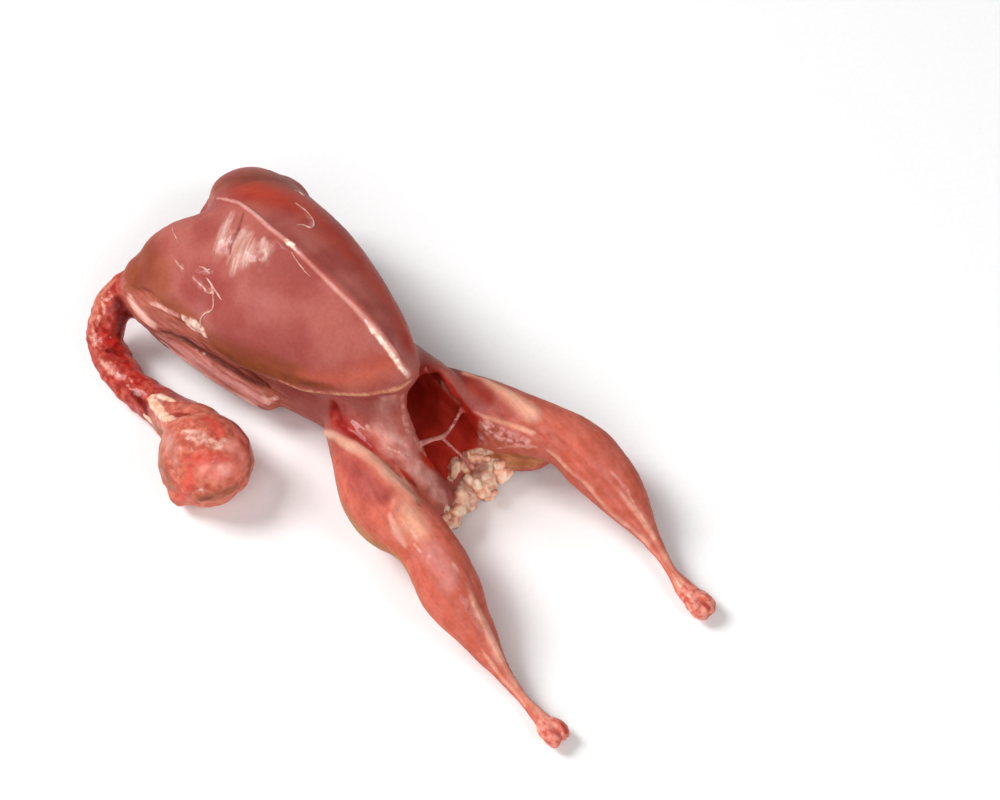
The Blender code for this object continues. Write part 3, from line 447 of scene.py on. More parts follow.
# How each mark looks: darker and lighter colour, grain of its edge, raggedness, softness and strength
LOOKS = (
    # own red-brown, and painted shade on the side turned from the light
    ("far_side", "#b43220", "#c8422c", "smooth", 0.3, 0.9, 0.9),
    ("front_brown", "#762e12", "#8a3c1e", "smooth", 0.4, 1.3, 0.95),
    ("mauve", "#b4645c", "#bf726c", "smooth", 0.5, 1.0, 0.8),
    ("olive", "#8e4630", "#a4563a", "smooth", 0.4, 0.8, 0.85),
    ("salmon", "#ce5c44", "#da6c52", "smooth", 0.3, 1.6, 0.85),
    ("rim_dark", "#7c3a22", "#964c2a", "patch", 0.4, 0.9, 0.8),
    ("notch_pale", "#b87c58", "#cc9874", "patch", 0.6, 1.6, 0.6),
    ("wing", "#a85645", "#c87262", "strand", 0.6, 0.4, 0.95),
    ("wing_rose", "#d0827a", "#f0aca2", "strand", 0.7, 0.8, 0.9),
    ("wing_pale", "#e4988a", "#ffcabb", "strand", 0.6, 0.9, 0.9),
    # painted shade in the wing's grooves
    ("wing_dark", "#64281f", "#7e382c", "strand", 0.4, 0.8, 0.9),
    ("leg", "#d06652", "#da7462", "patch", 0.3, 0.4, 0.95),
    ("thigh_tan", "#a87850", "#bc8e60", "smooth", 0.5, 1.0, 0.8),
    ("tan_lobe", "#b06a46", "#d28a62", "patch", 0.4, 0.6, 0.95),
    ("thigh_pink", "#a6463e", "#c0625a", "smooth", 0.2, 0.8, 0.95),
    ("mauve_drum", "#dc9088", "#e8aca4", "smooth", 0.4, 1.0, 0.75),
    ("neck", "#a43028", "#ca584a", "fleck", 0.4, 0.4, 0.95),
    ("neck_orange", "#c4604a", "#e08a70", "fleck", 1.2, 0.7, 0.8),
    ("neck_red", "#a0140f", "#c8261e", "fleck", 1.0, 0.9, 0.85),
    # dark red gaps, and painted shade between neck and body
    ("neck_dark", "#5c0c0a", "#84201a", "fleck", 1.0, 0.7, 0.9),
    # pale spots, and painted glints
    ("neck_pale", "#d88878", "#f4c0ae", "fleck", 1.2, 1.0, 0.8),
    ("head", "#cc624e", "#e4846c", "fleck", 0.4, 0.4, 0.95),
    ("head_grey", "#c07a6c", "#d49484", "patch", 0.6, 1.1, 0.8),
    # salmon, painted lighter against the shade on the right
    ("head_salmon", "#fa9080", "#ffaa9a", "patch", 0.6, 1.0, 0.9),
    # tan, painted darker on the lit left edge
    ("head_tan", "#a0563e", "#b46c50", "patch", 0.5, 0.8, 0.95),
    ("head_red", "#da3e34", "#ee6056", "patch", 0.9, 1.3, 0.85),
    ("head_pale", "#eaa896", "#ffdac8", "fleck", 1.2, 1.1, 0.85),
    ("head_brown", "#6c2c1a", "#94482c", "fleck", 1.2, 1.0, 0.8),
    ("neck_fat", "#eeb092", "#ffe0c4", "fleck", 0.5, 0.5, 0.95),
    # painted shade in the neck's dent
    ("neck_hole", "#7a1c18", "#a83c32", "fleck", 0.6, 0.5, 0.9),
    ("flank_pink", "#b4544c", "#cc7268", "patch", 0.5, 0.8, 0.85),
    ("flank", "#961c18", "#b8382e", "patch", 0.4, 0.8, 0.9),
    # red flesh, and painted shade
    ("far_inner", "#a03022", "#c04432", "smooth", 0.4, 0.8, 0.9),
    ("membrane", "#c27a70", "#dca094", "patch", 0.5, 0.9, 0.9),
    # pink tissue, its pale flecks painted glints
    ("striated", "#bc6054", "#fab0a6", "fleck", 0.9, 0.8, 0.85),
    # painted highlight, the soft glow of the sheen
    ("veil", "#cc8880", "#e6b4a8", "fleck", 0.5, 1.2, 0.65),
    ("sheen", "#d49c8c", "#f6d6c8", "brush", 0.9, 1.2, 0.65),
    # painted shade in the crease
    ("crease", "#7c3830", "#984a40", "fleck", 0.3, 0.8, 0.7),
    ("smear", "#c07668", "#d8968a", "fleck", 1.2, 1.0, 0.6),
    ("rim", "#cc7e60", "#e8aa88", "fleck", 0.6, 0.8, 0.85),
    ("keel", "#da9488", "#f0b6aa", "smooth", 0.3, 0.9, 0.85),
    # painted highlight along the keel
    ("keel_white", "#ffcab4", "#fff0e0", "fleck", 1.4, 0.8, 1.0),
    ("flake", "#e2b0a0", "#fcdccc", "fleck", 0.8, 0.6, 1.0),
    ("band", "#dca088", "#ecb8a0", "smooth", 0.2, 0.8, 0.95),
    ("cap", "#ea9a80", "#f8ba9e", "smooth", 0.3, 1.2, 0.85),
    ("cap_line", "#f0ae94", "#fcccb6", "smooth", 0.3, 1.2, 0.6),
    # cream band, painted lighter against its shaded side
    ("far_band", "#f8a88c", "#ffc2a6", "smooth", 0.2, 1.0, 0.95),
    ("tendon", "#e69e84", "#f6bca2", "patch", 0.4, 0.9, 0.75),
    ("ankle", "#d45e50", "#f6a894", "fleck", 1.0, 0.5, 0.9),
    ("ankle_red", "#98201a", "#c4443a", "fleck", 1.0, 0.6, 0.9),
    ("glint", "#eab0a0", "#ffe0d6", "fleck", 1.0, 1.1, 0.55),
    ("cavity", "#b62a1c", "#d44032", "smooth", 0.1, 0.7, 1.0),
    ("lip_dark", "#84201a", "#982a22", "patch", 0.3, 0.6, 0.95),
    ("far_strip", "#cc5848", "#e06e5e", "patch", 0.4, 0.9, 0.85),
    ("cut_edge", "#b86c60", "#dc9a8c", "fleck", 0.5, 0.8, 0.8),
    ("fat", "#ecac90", "#ffe8cc", "fleck", 0.6, 0.4, 0.98),
    ("fat_shade", "#9a5442", "#b8745a", "fleck", 0.8, 0.8, 0.9),
)

# The hollow is marked by the way its wall faces: a line of points along its middle
CAVITY_AXIS = (
    (3.6, -20, 12), (3.6, -3, 15.4), (3.2, 2, 15.8),
    (2.6, 8, 15), (1.6, 18, 14), (0.8, 32, 12),
)
CAVITY_RADIUS = 11.5
CAVITY_MOUTH = -9.5


def wider(stations, by):
    """The same path with its half widths that much larger."""
    return [(x, y, z, half + by) for x, y, z, half in stations]


# Relief: height, raggedness, and stations as above
RELIEF = (
    (0.26, 0.1, ((1.5, 49.4, 31.5, 0.8), (0.8, 41.8, 35.6, 0.8), (-0.2, 34.4, 38.2, 0.8),
                 (-0.5, 28.4, 39.4, 1), (-0.6, 22.7, 39.7, 0.8), (-0.4, 14, 39.2, 0.8),
                 (-0.2, 7.5, 38, 1.2), (-0.2, 2.5, 35.2, 1.4), (0, -0.2, 32, 1))),
    (-0.3, 0.2, wider(MARKS["crease"][0], 0.1)),
    (-0.22, 0.3, ((-1.8, 38, 37, 0.6), (-3.6, 33.6, 37.6, 0.7), (-4.6, 30, 37.8, 0.5))),
    (0.7, 0.6, ((-16.8, 39.8, 22.2, 0.9), (-16.6, 38.4, 22.2, 1.4), (-16.3, 37, 22.6, 1.3),
                (-16.3, 35.2, 22.4, 1), (-16.3, 34.2, 21.8, 0.6))),
    (0.55, 0.6, wider(MARKS["neck_fat"][0], 0.2)),
    (0.45, 0.6, ((-26.5, 39.5, 7.4, 0.7), (-25.4, 37.3, 8.1, 1), (-24.9, 34.5, 9.3, 0.6))),
    (-0.6, 0.4, wider(MARKS["neck_hole"][0], 0.2)),
    (0.3, 0.3, ((0.2, -0.9, 29.4, 0.9), (-2, -0.7, 29.6, 0.9), (-3.7, 0.9, 28.4, 0.9),
                (-5.9, 4.1, 26.2, 0.9), (-8.6, 8.9, 23.8, 0.9), (-11, 15, 20.8, 0.9),
                (-12.5, 19.1, 20.7, 0.7))),
    (-0.8, 0.3, ((-18.8, 45.5, 13.2, 0.6), (-18, 43.5, 13.9, 0.9), (-16.5, 39.8, 13.3, 1),
                 (-15, 33.9, 12.7, 1), (-13.3, 28.6, 11.5, 0.9), (-12.1, 25.7, 10.9, 0.7))),
    (-0.7, 0.3, ((-16.6, 35.6, 18, 0.8), (-15.6, 33.2, 15.6, 1.1), (-14, 31.4, 13.8, 1.2),
                 (-12.6, 27.8, 12.8, 1), (-11.5, 24.7, 11.6, 0.8))),
    (-0.4, 0.3, ((-17.8, 44, 17.4, 0.6), (-17.2, 40, 17.8, 0.8), (-16.6, 36.8, 17.4, 0.6))),
    (0.45, 0.3, ((-18.4, 44, 9, 1.2), (-16.6, 36, 8.4, 1.3), (-13.9, 26, 6.9, 1.3))),
    (0.4, 0.4, ((-17.8, 48.3, 18.6, 0.8), (-17.3, 43.5, 20.5, 1), (-17, 41, 21.4, 0.8))),
    (-0.5, 0.3, ((-17.2, 48, 20.4, 0.9), (-17.8, 54.4, 18, 1.1), (-17, 58, 16.4, 1))),
    (0.5, 0.2, ((-9.8, 10.6, 11, 1.3), (-10.6, 6, 14, 1.6), (-10.9, 1, 17.4, 1.9), (-10.9, -4, 18.3, 2),
                (-10.6, -8.6, 17.8, 1.9), (-10.2, -12.6, 16.8, 1.6))),
    (-0.2, 0.1, ((-12.9, 2.6, 15.6, 1.2), (-13.4, -2, 17.6, 1.4), (-13.3, -7, 17.8, 1.4),
                 (-13.8, -10.8, 17.4, 1.2))),
    (0.45, 0.2, ((-11.4, -12.4, 17.2, 3), (-12.6, -15.4, 16.8, 3.4))),
    (0.35, 0.3, ((-13, -11.4, 17.4, 0.9), (-15, -12.4, 16.7, 1.1), (-16.2, -15, 15.2, 1.4),
                 (-16.8, -18.4, 13.8, 1.2))),
    (-0.3, 0.2, ((-16.9, -17, 13.6, 0.8), (-18, -21, 13, 0.9), (-19, -26, 12.4, 0.8))),
    (-0.35, 0.2, ((-12, -28, 13.4, 0.8), (-13.4, -33, 11.2, 1), (-14.8, -38, 7.6, 0.9),
                  (-16.2, -44, 4.6, 0.6))),
    (0.35, 0.2, ((-14, -31, 12.6, 0.8), (-15.4, -36, 9.6, 1.1), (-16.4, -40, 7.2, 1.1),
                 (-17.2, -47, 4.8, 0.8))),
    (0.45, 0.2, ((12.6, -0.6, 18.2, 1), (13.9, -5.9, 18.8, 1.4), (14.8, -9.9, 18.4, 1.9),
                 (15.9, -13.7, 17.7, 2.2))),
    (-0.45, 0.3, ((10.2, -7, 18, 0.8), (12.2, -10.4, 17.8, 1), (13.4, -13.4, 17, 0.9),
                  (14.6, -18, 15.8, 0.7))),
    (0.35, 0.2, ((14.6, -18.8, 14.2, 0.8), (14.9, -23.6, 12.9, 0.9), (15.5, -28.1, 12.1, 1),
                 (16.6, -36.4, 7.2, 0.8))),
    (-0.35, 0.2, ((16, -19, 16.2, 0.8), (16.4, -24, 15.2, 0.9), (17, -30, 13, 0.9), (17.8, -36, 9.4, 0.8),
                  (18, -42, 6.4, 0.6))),
    (-0.55, 0.3, ((-7.5, 11.1, 16.8, 0.8), (-8.8, 8.6, 15.9, 1.2), (-9.2, 4.6, 17, 1.2),
                  (-9.1, 0.5, 17.7, 1), (-8.9, -3, 17.4, 0.8), (-8.6, -7.5, 16.6, 0.8))),
    (0.3, 0.3, ((4.6, 0.9, 27.2, 0.8), (8.6, -1, 18.6, 1), (9.2, -4.6, 17.2, 1), (9.2, -6, 17.6, 0.8),
                (11.1, -10.5, 17.5, 0.9), (14.7, -14.9, 17, 1))),
    (-0.6, 0.3, ((-18, -53, 4.4, 0.7), (-17.9, -58, 3.6, 0.9))),
    (-0.4, 0.3, ((16.9, -51, 5, 0.7), (16.9, -57.6, 4.4, 0.8))),
)

# Lumps: mark that carries them, size of a lump and height
LUMPS = (
    ("head", 3.4, 0.85),
    ("head", 1.5, 0.42),
    ("neck", 2.6, 0.55),
    ("neck", 1.2, 0.22),
    ("neck_fat", 1.1, 0.35),
    ("flake", 1.0, 0.4),
    ("fat", 1.7, 1.0),
    ("fat", 0.9, 0.5),
    ("ankle", 1.4, 0.5),
    ("wing", 1.8, 0.22),
    ("striated", 1.2, 0.35),
    ("membrane", 1.6, 0.16),
    ("cavity", 2.2, 0.35),
    ("leg", 6.0, 0.25),
)


def along(points, stations):
    """How near each point is to a path: 1 on it, 0 at its half width, and below 0 further out."""
    rows = np.array(stations, float)
    best = np.full(len(points), -9.0)
    for a, b in zip(rows, rows[1:]):
        leg = b[:3] - a[:3]
        t = np.clip((points - a[:3]) @ leg / max(leg @ leg, 1e-9), 0, 1)
        away = np.linalg.norm(points - a[:3] - t[:, None] * leg, axis=1)
        best = np.maximum(best, 1 - away / (a[3] + t * (b[3] - a[3])))
    return best


def grain(points, size, shift=0):
    """Smooth noise between about -1 and 1 with features of that size. Each shift gives another draw."""
    return np.array([noise.noise(Vector(p) / size + Vector((shift, 0, 0))) for p in points])


def soft(values):
    """An S curve from 0 to 1."""
    t = np.clip(values, 0, 1)
    return t * t * (3 - 2 * t)


def read(mesh):
    """Vertices and their normals, in millimetres."""
    points = np.empty(len(mesh.vertices) * 3)
    normals = np.empty(len(mesh.vertices) * 3)
    mesh.vertices.foreach_get("co", points)
    mesh.vertices.foreach_get("normal", normals)
    return points.reshape(-1, 3) / MM, normals.reshape(-1, 3)


def write(mesh, points):
    """Moves the vertices to the points, in millimetres."""
    mesh.vertices.foreach_set("co", (points * MM).ravel())
    mesh.update()


def plain(obj):
    """The object's mesh with its modifiers worked in, and the modifiers gone."""
    bpy.context.view_layer.update()
    graph = bpy.context.evaluated_depsgraph_get()
    mesh = bpy.data.meshes.new_from_object(obj.evaluated_get(graph))
    obj.modifiers.clear()
    obj.data = mesh
    return mesh


def in_cavity(points, normals):
    """1 on the wall of the hollow, which faces its middle line, and 0 elsewhere."""
    axis = np.array(CAVITY_AXIS)
    found = np.zeros(len(points))
    for a, b in zip(axis, axis[1:]):
        leg = b - a
        t = np.clip((points - a) @ leg / (leg @ leg), 0, 1)
        inward = a + t[:, None] * leg - points
        away = np.linalg.norm(inward, axis=1)
        facing = np.sum(inward * normals, axis=1) / np.maximum(away, 1e-6)
        near = np.where((away < CAVITY_RADIUS) & (points[:, 1] > CAVITY_MOUTH), facing, 0)
        found = np.maximum(found, near)
    open_edge = soft((points[:, 1] + 10) / 3)
    return np.clip(found * 2.2 - 0.5, 0, 1) * open_edge


def bird_skin():
    """The whole bird: an even fine mesh grown on the solid, with its marks and relief."""
    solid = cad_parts["dressed_quail"]
    shape = bmesh.new()
    shape.from_mesh(solid.data)
    bmesh.ops.remove_doubles(shape, verts=shape.verts, dist=0.000001)
    mesh = bpy.data.meshes.new("quail_muscle")
    shape.to_mesh(mesh)
    shape.free()
    obj = bpy.data.objects.new("quail_muscle", mesh)
    bpy.context.scene.collection.objects.link(obj)
    remesh = obj.modifiers.new("even", "REMESH")
    remesh.mode = "VOXEL"
    remesh.voxel_size = SKIN_VOXEL * MM
    smooth = obj.modifiers.new("soften", "SMOOTH")
    smooth.factor = 0.5
    smooth.iterations = SKIN_SMOOTHING
    mesh = plain(obj)
    points, normals = read(mesh)

    masks = {}
    for name, paths in MARKS.items():
        masks[name] = np.max([along(points, path) for path in paths], axis=0)
    masks["cavity"] = in_cavity(points, normals)

    ragged = grain(points, 1.6)
    rise = 0.05 * grain(points, 1.1, 5) + 0.12 * grain(points, 4.5, 9)
    for height, rough, stations in RELIEF:
        rise += height * soft(along(points, stations) + rough * 0.5 * ragged)
    for name, size, height in LUMPS:
        rise += height * soft(masks[name] * 1.6) * grain(points, size, len(name))
    points += normals * rise[:, None]
    points[:, 2] = np.maximum(points[:, 2], 0.0)  # nothing dips into the table
    write(mesh, points)

    for name, values in masks.items():
        layer = mesh.attributes.new(name, "FLOAT", "POINT")
        layer.data.foreach_set("value", np.clip(values, -1, 1).astype(np.float32))
    mesh.polygons.foreach_set("use_smooth", [True] * len(mesh.polygons))
    return obj


def muscle_material():
    """Raw quail meat, skinned and rinsed: dark red muscle under a thin wet fascia.

    The eye gets soft light from inside the flesh, crisp small highlights from the film of water, faint
    fibres along each muscle, and paler fat, sinew and fascia where they lie on it. Some marks paint light
    and shade into the colour: highlights and glints on the keel, breast, neck and wet wrinkles, shade in
    creases, grooves and dents, and sides of parts painted darker or lighter against the fall of the light.
    """
    made, tree, surface, place = begun("raw quail muscle, skinned and rinsed")

    # Noise at real sizes: cells of 0.7 mm, flecks of 1.1 mm, patches of 2.6 mm, clouds of 9 mm
    speckle = spots(tree, place, 0.7, 3.0)
    fleck = spots(tree, place, 1.1, 3.0)
    patch = spots(tree, place, 2.6, 2.5)
    cloud = spots(tree, place, 9.0, 2.0)

    # Fibres: noise drawn out twelve times along the muscle
    def fibres(direction, size):
        turn = Vector((0, 1, 0)).rotation_difference(Vector(direction)).to_euler()
        lined = put(tree, "ShaderNodeMapping", {"Vector": place, "Rotation": turn, "Scale": (1, 12, 1)},
                    vector_type="TEXTURE").outputs["Vector"]
        sockets = {"Vector": lined, "Scale": 1 / (size * MM), "Detail": 4.0, "Roughness": 0.6}
        return put(tree, "ShaderNodeTexNoise", sockets).outputs["Fac"]

    leg_fibres = fibres((-0.05, -0.95, -0.3), 0.9)
    leg = marked(tree, "leg")
    in_leg = put(tree, "ShaderNodeMapRange", {"Value": leg, "From Max": 0.3}).outputs["Result"]
    fibre = put(tree, "ShaderNodeMix", {0: in_leg, 2: 0.5, 3: leg_fibres}).outputs[0]

    def mixed(factor, first, second, kind="MIX"):
        node = put(tree, "ShaderNodeMix", {FACTOR: factor, FIRST: first, SECOND: second},
                   data_type="RGBA", blend_type=kind)
        return node.outputs[MIXED]

    def rising(value, low, high, top=1.0):
        node = put(tree, "ShaderNodeMapRange",
                   {"Value": value, "From Min": low, "From Max": high, "To Max": top},
                   interpolation_type="SMOOTHSTEP")
        return node.outputs["Result"]

    def added(value, times, other):
        node = put(tree, "ShaderNodeMath", {0: value, 1: times, 2: other}, operation="MULTIPLY_ADD")
        return node.outputs[0]

    colour = mixed(rising(cloud, 0.35, 0.65), tone("#a6504a"), tone("#ba685e"))
    grains = {"smooth": cloud, "patch": patch, "fleck": fleck, "brush": fibres((-0.85, -0.45, -0.25), 0.55),
              "strand": fibres((0.23, -0.95, -0.19), 0.7)}
    shades = {name: rising(value, 0.34, 0.66) for name, value in grains.items()}
    for name, dark, light, kind, ragged, softness, strength in LOOKS:
        torn = added(grains[kind], ragged, marked(tree, name))
        cover = rising(torn, ragged * 0.5, ragged * 0.5 + softness, strength)
        own = mixed(shades[kind], tone(dark), tone(light))
        colour = mixed(cover, colour, own)

    # Fibres and fine speckle darken and lighten it a little
    for value, share, shade in ((fibre, 0.2, "#8f8f8f"), (speckle, 0.12, "#909090")):
        veins = mixed(rising(value, 0.35, 0.65), tone(shade), tone("#ffffff"))
        colour = mixed(share, colour, veins, "MULTIPLY")
    rough = put(tree, "ShaderNodeMapRange",
                {"Value": speckle, "From Min": 0.3, "From Max": 0.7, "To Min": 0.3, "To Max": 0.52})

    # The film of water is thick where the bird is wettest, and almost dry on the broad breast
    pools = added(patch, 1.0, marked(tree, "wet"))
    water = put(tree, "ShaderNodeMapRange",
                {"Value": pools, "From Min": 0.4, "From Max": 1.3, "To Min": 0.02, "To Max": 0.7})

    settle(tree, surface, {
        "Base Color": colour,
        "Roughness": rough.outputs["Result"],
        "Normal": bumped(tree, added(fibre, 0.6, speckle), 0.45, 0.12),
        "IOR": 1.4,
        "Specular IOR Level": 0.02,
        "Subsurface Weight": 0.35,
        "Subsurface Radius": (1.0, 0.3, 0.2),
        "Subsurface Scale": 0.0012,
        "Coat Weight": water.outputs["Result"],
        "Coat Roughness": 0.14,
        "Coat IOR": 1.34,
        "Coat Normal": bumped(tree, patch, 0.4, 0.3),
    })
    return made


def fat_material():
    """Raw fat, torn: cream coloured, waxy and greasy, with a darker pink painted into its hollows as shade.
    """
    made, tree, surface, place = begun("raw poultry fat, torn")
    crest = put(tree, "ShaderNodeMath", {0: spots(tree, place, 1.4, 3.0), 1: 0.9, 2: marked(tree, "raised")},
                operation="MULTIPLY_ADD")
    level = put(tree, "ShaderNodeMapRange", {"Value": crest.outputs[0], "From Min": 0.4, "From Max": 1.1})
    # Darker pink where the fat lies low by the skin is painted shade in its hollows; cream on the crests.
    colours = ((0.0, "#c47c64"), (1.0, "#ffe0c4"), (0.4, "#f2b494"))
    settle(tree, surface, {
        "Base Color": ramp(tree, level.outputs["Result"], *colours),
        "Roughness": 0.4,
        "Normal": bumped(tree, spots(tree, place, 0.4, 3.0), 0.5, 0.2),
        "Subsurface Weight": 0.4,
        "Subsurface Radius": (1.0, 0.6, 0.4),
        "Subsurface Scale": 0.001,
        "Coat Weight": 0.3,
        "Coat Roughness": 0.2,
    })
    return made


def sinew_material():
    """Raw sinew, stretched: flesh pink, paler where it is pulled thin, and glossy."""
    made, tree, surface, place = begun("raw sinew, stretched")
    strips = spots(tree, place, 1.8, 2.0)
    settle(tree, surface, {
        "Base Color": ramp(tree, strips, (0.35, "#b45a50"), (0.62, "#d88e82")),
        "Roughness": 0.35,
        "Normal": bumped(tree, strips, 0.3, 0.1),
        "Subsurface Weight": 0.3,
        "Subsurface Radius": (1.0, 0.5, 0.4),
        "Subsurface Scale": 0.0008,
        "Coat Weight": 0.5,
        "Coat Roughness": 0.12,
    })
    return made


def fascia_material():
    """Torn fascia: wet threads, pinkish white where they bunch up and flesh-coloured where they thin out."""
    made, tree, surface, place = begun("raw fascia, torn threads")
    settle(tree, surface, {
        "Base Color": ramp(tree, spots(tree, place, 1.2, 3.0), (0.38, "#bc7062"), (0.62, "#e6b0a0")),
        "Roughness": 0.3,
        "Subsurface Weight": 0.4,
        "Subsurface Radius": (1.0, 0.5, 0.4),
        "Subsurface Scale": 0.0006,
        "Coat Weight": 0.6,
        "Coat Roughness": 0.1,
    })
    return made


def board_material():
    """White background board, matt: even, with a trace of tooth about 1 mm apart."""
    made, tree, surface, place = begun("white board, matt")
    settle(tree, surface, {
        "Base Color": ramp(tree, spots(tree, place, 1.1, 2.0), (0.0, "#f6f6f6"), (1.0, "#fcfcfc")),
        "Roughness": 0.9,
        "Specular IOR Level": 0.1,
    })
    return made


def socket_id(tree, name):
    """The identifier of a node tree's named input."""
    items = tree.interface.items_tree
    return next(item.identifier for item in items if item.name == name and item.in_out == "INPUT")


def group(name, inputs):
    """An empty geometry tree with named inputs. Returns the tree, its input node and its output node."""
    tree = bpy.data.node_groups.new(name, "GeometryNodeTree")
    tree.interface.new_socket("Geometry", in_out="INPUT", socket_type="NodeSocketGeometry")
    tree.interface.new_socket("Geometry", in_out="OUTPUT", socket_type="NodeSocketGeometry")
    for label, (kind, value) in inputs.items():
        socket = tree.interface.new_socket(label, in_out="INPUT", socket_type=kind)
        if value is not None:
            socket.default_value = value
    return tree, tree.nodes.new("NodeGroupInput"), tree.nodes.new("NodeGroupOutput")


def strand_tree():
    """Sweeps a round section along every edge path, thick where the point attribute says."""
    tree, given, result = group("strands", {
        "Radius": ("NodeSocketFloat", 0.0004),
        "Sides": ("NodeSocketInt", 8),
        "Step": ("NodeSocketFloat", 0.0004),
        "Material": ("NodeSocketMaterial", None),
    })
    curve = put(tree, "GeometryNodeMeshToCurve", {"Mesh": given.outputs["Geometry"]})
    even = put(tree, "GeometryNodeResampleCurve",
               {"Curve": curve.outputs["Curve"], "Length": given.outputs["Step"]}, mode="LENGTH")
    width = put(tree, "GeometryNodeInputNamedAttribute", {"Name": "thickness"}, data_type="FLOAT")
    sized = put(tree, "ShaderNodeMath", {0: width.outputs["Attribute"], 1: given.outputs["Radius"]},
                operation="MULTIPLY")
    ring = put(tree, "GeometryNodeCurvePrimitiveCircle",
               {"Resolution": given.outputs["Sides"], "Radius": 1.0})
    body = put(tree, "GeometryNodeCurveToMesh",
               {"Curve": even.outputs["Curve"], "Profile Curve": ring.outputs["Curve"],
                "Scale": sized.outputs[0], "Fill Caps": True})
    real = put(tree, "GeometryNodeRealizeInstances", {"Geometry": body.outputs["Mesh"]})
    coat = put(tree, "GeometryNodeSetMaterial",
               {"Geometry": real.outputs["Geometry"], "Material": given.outputs["Material"]})
    tree.links.new(coat.outputs["Geometry"], result.inputs["Geometry"])
    return tree


def grow(obj, tree, values):
    """Runs a geometry tree on the object with its named inputs and keeps the result as a plain mesh."""
    modifier = obj.modifiers.new("grow", "NODES")
    modifier.node_group = tree
    for name, value in values.items():
        modifier[socket_id(tree, name)] = value
    plain(obj)
    obj.data.polygons.foreach_set("use_smooth", [True] * len(obj.data.polygons))
    return obj


def strands(name, paths, tree, material, radius):
    """One piece of thin strands. A path's station is x, y, z and how thick it is there."""
    mesh = bpy.data.meshes.new(name)
    points = [Vector(station[:3]) * MM for path in paths for station in path]
    edges, first = [], 0
    for path in paths:
        edges += [(first + k, first + k + 1) for k in range(len(path) - 1)]
        first += len(path)
    mesh.from_pydata(points, edges, [])
    layer = mesh.attributes.new("thickness", "FLOAT", "POINT")
    layer.data.foreach_set("value", [station[3] for path in paths for station in path])
    obj = bpy.data.objects.new(name, mesh)
    bpy.context.scene.collection.objects.link(obj)
    return grow(obj, tree, {"Radius": radius * MM, "Material": material})


def smooth_path(stations, steps):
    """A Catmull-Rom curve through the stations."""
    rows = np.array(stations, float)
    rows = np.vstack([2 * rows[0] - rows[1], rows, 2 * rows[-1] - rows[-2]])
    made = []
    for at in np.linspace(0, len(rows) - 3, steps):
        k = min(int(at), len(rows) - 4)
        t = at - k
        a, b, c, d = rows[k : k + 4]
        bend = 2 * a - 5 * b + 4 * c - d
        twist = 3 * b - a - 3 * c + d
        made.append(0.5 * (2 * b + (c - a) * t + bend * t**2 + twist * t**3))
    return made


# The forked sinew across the opening: x, y, z and how thick it is there
SINEWS = (
    ((9.6, -4, 17.4, 1.7), (8.2, -4.6, 16.6, 1.2), (6.9, -5, 16, 1), (4.5, -5.6, 14.9, 0.95),
     (2.4, -5.7, 14.8, 1.25), (0.8, -5.3, 15.4, 1.1), (-2, -4.8, 16.2, 1.8)),
    ((2.4, -5.6, 14.9, 1.1), (3, -6.4, 13.3, 0.85), (3.6, -7.3, 11.8, 0.8), (4.7, -8.6, 9.1, 0.85),
     (5.7, -9.9, 6, 1.5)),
)


# Torn threads of fascia on the breast: x, y, z and how thick they are there. They wander by the wobble,
# which takes each of its three directions from its own draw of the noise.
THREAD_WOBBLE = 0.12
WOBBLE_DRAWS = (3.7, 17.1, 41.9)
THREADS = (
    ((-12.5, 46.8, 28.1, 0.7), (-12.7, 45.3, 28.3, 1.3), (-12.8, 43.9, 28.5, 0.6)),
    ((-11.2, 41.1, 30.6, 0.6), (-11, 39.9, 31.1, 1.2), (-11.1, 38.2, 31.3, 0.9)),
    ((-11.8, 40.4, 30.3, 0.7), (-11.2, 39.4, 31, 1.1), (-10.5, 38.7, 31.7, 0.6)),
    ((-12.9, 41, 29, 0.5), (-13, 39.1, 29.2, 1), (-13.1, 36.7, 29.4, 0.8)),
    ((-11.8, 38.4, 30.6, 0.7), (-12.2, 36.4, 30.5, 1.1), (-13.4, 34.9, 29.2, 0.9), (-14.3, 34.3, 27.8, 0.8),
     (-15.3, 35.7, 25.8, 0.8), (-15.9, 36, 24.2, 0.9), (-16.3, 35.6, 22.8, 0.7)),
    ((-12.2, 36.2, 30.5, 0.8), (-12.5, 34.6, 30.4, 1), (-12.8, 33.2, 30.2, 0.5)),
    ((-13.2, 37.5, 29.2, 1.1), (-13, 36.2, 29.5, 1.6), (-12.6, 35.6, 30.1, 1)),
    ((12.8, 44, 28.2, 0.6), (13.3, 43.4, 27.8, 0.9), (13.2, 42, 28.1, 0.5)),
    ((9, 39, 32.7, 0.4), (8.7, 35.6, 33.6, 0.6), (7.3, 31.9, 35.5, 0.8), (5.7, 30.5, 36.8, 1.1),
     (5, 31.6, 37, 0.7), (4.2, 32.3, 37.2, 0.5)),
    ((-8.3, 52.7, 27.8, 0.4), (-9.3, 50.6, 28.7, 0.7), (-10, 48.5, 29.3, 0.4)),
    ((-1.3, 27.4, 39.3, 0.4), (-1.9, 24.5, 39.1, 0.6), (-2.2, 21.5, 39, 0.4)),
)


def surface_tree(obj):
    """A tree that finds the nearest place on the object."""
    return BVHTree.FromPolygons([v.co for v in obj.data.vertices], [p.vertices for p in obj.data.polygons])


def laid(paths, skin, lift):
    """The paths as smooth curves that hug the skin, raised by the given millimetres."""
    under = surface_tree(skin)
    made = []
    for path in paths:
        curve = []
        for row in smooth_path(path, 8 * len(path)):
            at = Vector(row[:3])
            near = under.find_nearest(at * MM)[0]
            wobble = THREAD_WOBBLE * Vector([noise.noise(at * 1.3 + Vector((k, 0, 0))) for k in WOBBLE_DRAWS])
            near, normal, _, _ = under.find_nearest(near + wobble * MM)
            curve.append((*(near / MM + normal * lift), row[3]))
        made.append(curve)
    return made


